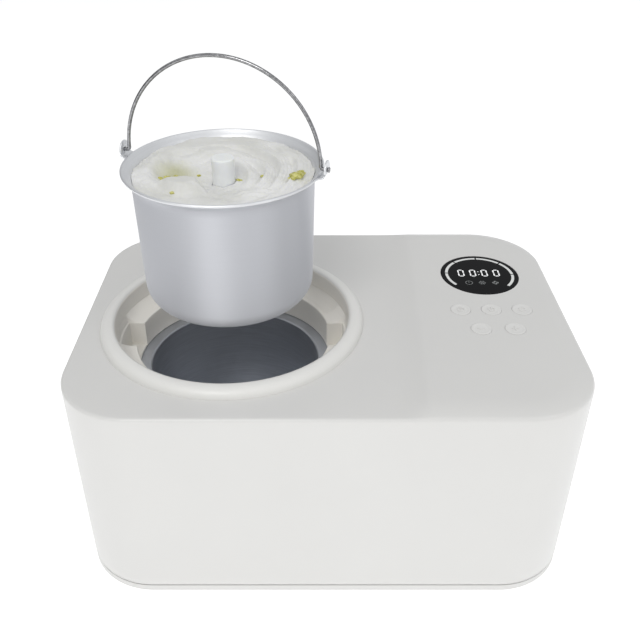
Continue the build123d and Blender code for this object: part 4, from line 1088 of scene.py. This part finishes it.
def add_flake(bm, cx, cy):
    """Snowflake symbol: six arms with two barbs each."""
    for arm in range(6):
        angle = math.pi / 3 * arm
        ux, uy = math.cos(angle) * MM, math.sin(angle) * MM
        add_flake_bar(bm, cx + 0.5 * ux, cy + 0.5 * uy, 3.0 * MM, angle, 0.22 * MM)
        for lean in (-1, 1):
            x = cx + 2.0 * ux + 0.35 * MM * math.cos(angle + lean)
            y = cy + 2.0 * uy + 0.35 * MM * math.sin(angle + lean)
            add_flake_bar(bm, x, y, 1.1 * MM, angle + lean * 0.9, 0.18 * MM)


def add_fan(bm, cx, cy):
    """Fan symbol: four curled blades."""
    for start in (0, 90, 180, 270):
        x = cx + 1.6 * MM * math.cos(math.radians(start))
        y = cy + 1.6 * MM * math.sin(math.radians(start))
        add_print(bm, arc_band(x, y, 0.2 * MM, 1.5 * MM, start - 60, start + 150, 14))


def make_display_symbols():
    """Three dim symbols below the digits."""
    bm = bmesh.new()
    y = WINDOW.y + SYMBOL_Y
    add_clock(bm, WINDOW.x - SYMBOL_X, y)
    add_flake(bm, WINDOW.x, y)
    add_fan(bm, WINDOW.x + SYMBOL_X, y)
    finish_print("display_symbols", bm, glow("display_dim", (0.20, 0.21, 0.21), 0.15))


# ---- keys ----
KEY_R = 9.0
KEY_STEP = 0.25
KEY_SEGMENTS = 64
KEY_SKIRT_H = 5.5 * MM
KEY_FLANGE_R = 10.8 * MM
KEY_FLANGE_Z = 6 * MM
KEY_STEM_R = 2.2 * MM
AXIS_R = 0.02 * MM
KEY_DISH = 0.35
MARK_FOOT = 0.38 * MM
MARK_H = 0.6 * MM
MARK_LINE = 0.5 * MM
MARK_HALF = 3.2 * MM


def key_height(radius):
    """Section of a key cap in mm: raised rim with a shallow dish inside."""
    dish = -KEY_DISH * (1 - smooth_step(5.4, 7.4, radius))
    return dish - KEY_DISH * smooth_step(8.1, KEY_R, radius) ** 2


def close_axis(obj):
    """Closes the tiny hole that a turned piece leaves on its axis."""
    bm = bmesh.new()
    bm.from_mesh(obj.data)
    bmesh.ops.remove_doubles(bm, verts=bm.verts, dist=0.03 * MM)
    bm.to_mesh(obj.data)
    bm.free()


def make_key(name, symbol):
    """Key cap with a dished face and its raised symbol."""
    low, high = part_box(name)
    centre = ((low.x + high.x) / 2, (low.y + high.y) / 2)
    profile = [(AXIS_R, high.z + key_height(0) * MM)]
    for index in range(2, round(KEY_R / KEY_STEP) + 1):
        radius = index * KEY_STEP
        profile.append((radius * MM, high.z + key_height(radius) * MM))
    flange_top = high.z - KEY_SKIRT_H
    flange_low = low.z + KEY_FLANGE_Z
    profile += [(KEY_R * MM, flange_top), (KEY_FLANGE_R, flange_top), (KEY_FLANGE_R, flange_low)]
    profile += [(KEY_STEM_R, flange_low), (KEY_STEM_R, low.z), (AXIS_R, low.z)]
    cap = turned(name + "_cap", [profile] * KEY_SEGMENTS, centre, KEYS)
    close_axis(cap)
    shade_by_angle(cap)
    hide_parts(name)
    bm = bmesh.new()
    face = high.z - MARK_FOOT
    symbol(bm, *centre, face, face + MARK_H)
    mark = add_object(name + "_mark", bm, KEYS)
    soften_edges(mark, 0.12 * MM)
    apply_modifiers(mark)
    shade_by_angle(mark)
    for piece in (cap, mark):
        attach(piece, name)


def minus_symbol(bm, cx, cy, low, high):
    """Minus sign."""
    add_block(bm, cx, cy, low, high, MARK_HALF, MARK_LINE)


def plus_symbol(bm, cx, cy, low, high):
    """Plus sign: a minus with a bar above and below."""
    minus_symbol(bm, cx, cy, low, high)
    for side in (-1, 1):
        add_block(bm, cx, cy + side * 1.9 * MM, low, high, MARK_LINE, 1.35 * MM)


def timer_symbol(bm, cx, cy, low, high):
    """Clock: a ring with one hand."""
    add_plate(bm, arc_band(cx, cy, 2.7 * MM, 3.5 * MM, 0, FULL_TURN, 40), low, high)
    add_block(bm, cx, cy + 0.9 * MM, low, high, 0.4 * MM, 1.3 * MM)


def power_symbol(bm, cx, cy, low, high):
    """Power sign: an open ring with a bar in its gap."""
    add_plate(bm, arc_band(cx, cy, 2.6 * MM, 3.4 * MM, 120, 420, 36), low, high)
    add_block(bm, cx, cy + 2.4 * MM, low, high, 0.42 * MM, 1.8 * MM)


def mix_symbol(bm, cx, cy, low, high):
    """Two arcs that chase each other."""
    for start in (20, 200):
        add_plate(bm, arc_band(cx, cy, 2.5 * MM, 3.3 * MM, start, start + 140), low, high)


KEY_SYMBOLS = (timer_symbol, power_symbol, mix_symbol, minus_symbol, plus_symbol)

# ---- stage ----
FLOOR_HALF = 6.0
ROOM_LIGHT = 0.66
ROOM_DARK = 0.0
DIM_TOWARDS = (-0.93, 0.36, 0.0)
DIM_SIDE = (0.25, 0.8)
DIM_HEIGHT = (0.05, 0.45)
LIGHT_AIM = (0, 0, 0.2)
KEY_LIGHT = ((-0.50, -1.40, 1.85), (0.9, 0.7), 13, (1.0, 0.99, 0.97))
FILL_LIGHT = ((1.30, -0.90, 1.60), (0.9, 0.9), 3, (1.0, 1.0, 1.0))
CAMERA_PLACE = (-0.01232, -0.60043, 0.58138)
CAMERA_TILT = 56.82
CAMERA_LENS = 44.146
CAMERA_SHIFT = 0.01214


def make_floor():
    """Plain pale floor, faintly lit so that it stays white."""
    bm = bmesh.new()
    corners = ((-1, -1), (1, -1), (1, 1), (-1, 1))
    bm.faces.new([bm.verts.new((x * FLOOR_HALF, y * FLOOR_HALF, 0)) for x, y in corners])
    material, tree, shader = new_material("floor_paper")
    paper = ramp(tree, noise_node(tree, 2.0), (0.90, 0.90, 0.90), (0.92, 0.92, 0.92))
    tree.links.new(paper, shader.inputs["Base Color"])
    shader.inputs["Roughness"].default_value = 0.9
    shader.inputs["Specular IOR Level"].default_value = 0.1
    shader.inputs["Emission Color"].default_value = (1.0, 1.0, 1.0, 1)
    shader.inputs["Emission Strength"].default_value = 0.4
    floor = add_object("floor", bm, material, smooth=False)


def area_light(name, place, size, power, colour):
    """Soft rectangular light aimed at the object."""
    data = bpy.data.lights.new(name, "AREA")
    data.shape = "RECTANGLE"
    data.size, data.size_y = size
    data.energy = power
    data.color = colour
    lamp = bpy.data.objects.new(name, data)
    bpy.context.scene.collection.objects.link(lamp)
    lamp.location = place
    lamp.rotation_euler = (Vector(LIGHT_AIM) - Vector(place)).to_track_quat("-Z", "Y").to_euler()


def make_room():
    """Pale room, dim low down on the left and behind."""
    world = bpy.data.worlds.new("studio")
    bpy.context.scene.world = world
    world.use_nodes = True
    tree = world.node_tree
    backdrop = tree.nodes["Background"]
    backdrop.inputs["Color"].default_value = (0.98, 0.99, 1.0, 1)
    direction = tree.nodes.new("ShaderNodeTexCoord").outputs["Generated"]
    split = tree.nodes.new("ShaderNodeSeparateXYZ")
    tree.links.new(direction, split.inputs["Vector"])
    towards = tree.nodes.new("ShaderNodeVectorMath")
    towards.operation = "DOT_PRODUCT"
    towards.inputs[1].default_value = DIM_TOWARDS
    tree.links.new(direction, towards.inputs[0])
    dim = tree.nodes.new("ShaderNodeMath")
    dim.operation = "MULTIPLY"
    tree.links.new(remap(tree, towards.outputs["Value"], *DIM_SIDE, 0.0, 1.0), dim.inputs[0])
    tree.links.new(remap(tree, split.outputs["Z"], *DIM_HEIGHT, 1.0, 0.0), dim.inputs[1])
    level = remap(tree, dim.outputs["Value"], 0.0, 1.0, ROOM_LIGHT, ROOM_DARK)
    tree.links.new(level, backdrop.inputs["Strength"])


def make_camera():
    """Camera in front of the object, looking down at it."""
    data = bpy.data.cameras.new("camera")
    data.sensor_width = 36
    data.lens = CAMERA_LENS
    data.shift_x = CAMERA_SHIFT
    camera = bpy.data.objects.new("camera", data)
    bpy.context.scene.collection.objects.link(camera)
    camera.location = CAMERA_PLACE
    camera.rotation_euler = (math.radians(CAMERA_TILT), 0, 0)
    bpy.context.scene.camera = camera


bpy.context.scene.view_settings.view_transform = "Standard"
make_camera()
make_floor()
make_room()
area_light("key_softbox", *KEY_LIGHT)
area_light("fill_softbox", *FILL_LIGHT)
dress_cad_nodes()
make_housing()
make_collar_lip()
make_collar_liner()
make_bowl()
make_ear(1, "right_ear")
make_ear(-1, "left_ear")
make_bail()
make_ice_cream()
make_bits()
make_display_ring()
make_display_digits()
make_display_symbols()
for key_name, key_symbol in zip(KEY_NAMES, KEY_SYMBOLS):
    make_key(key_name, key_symbol)
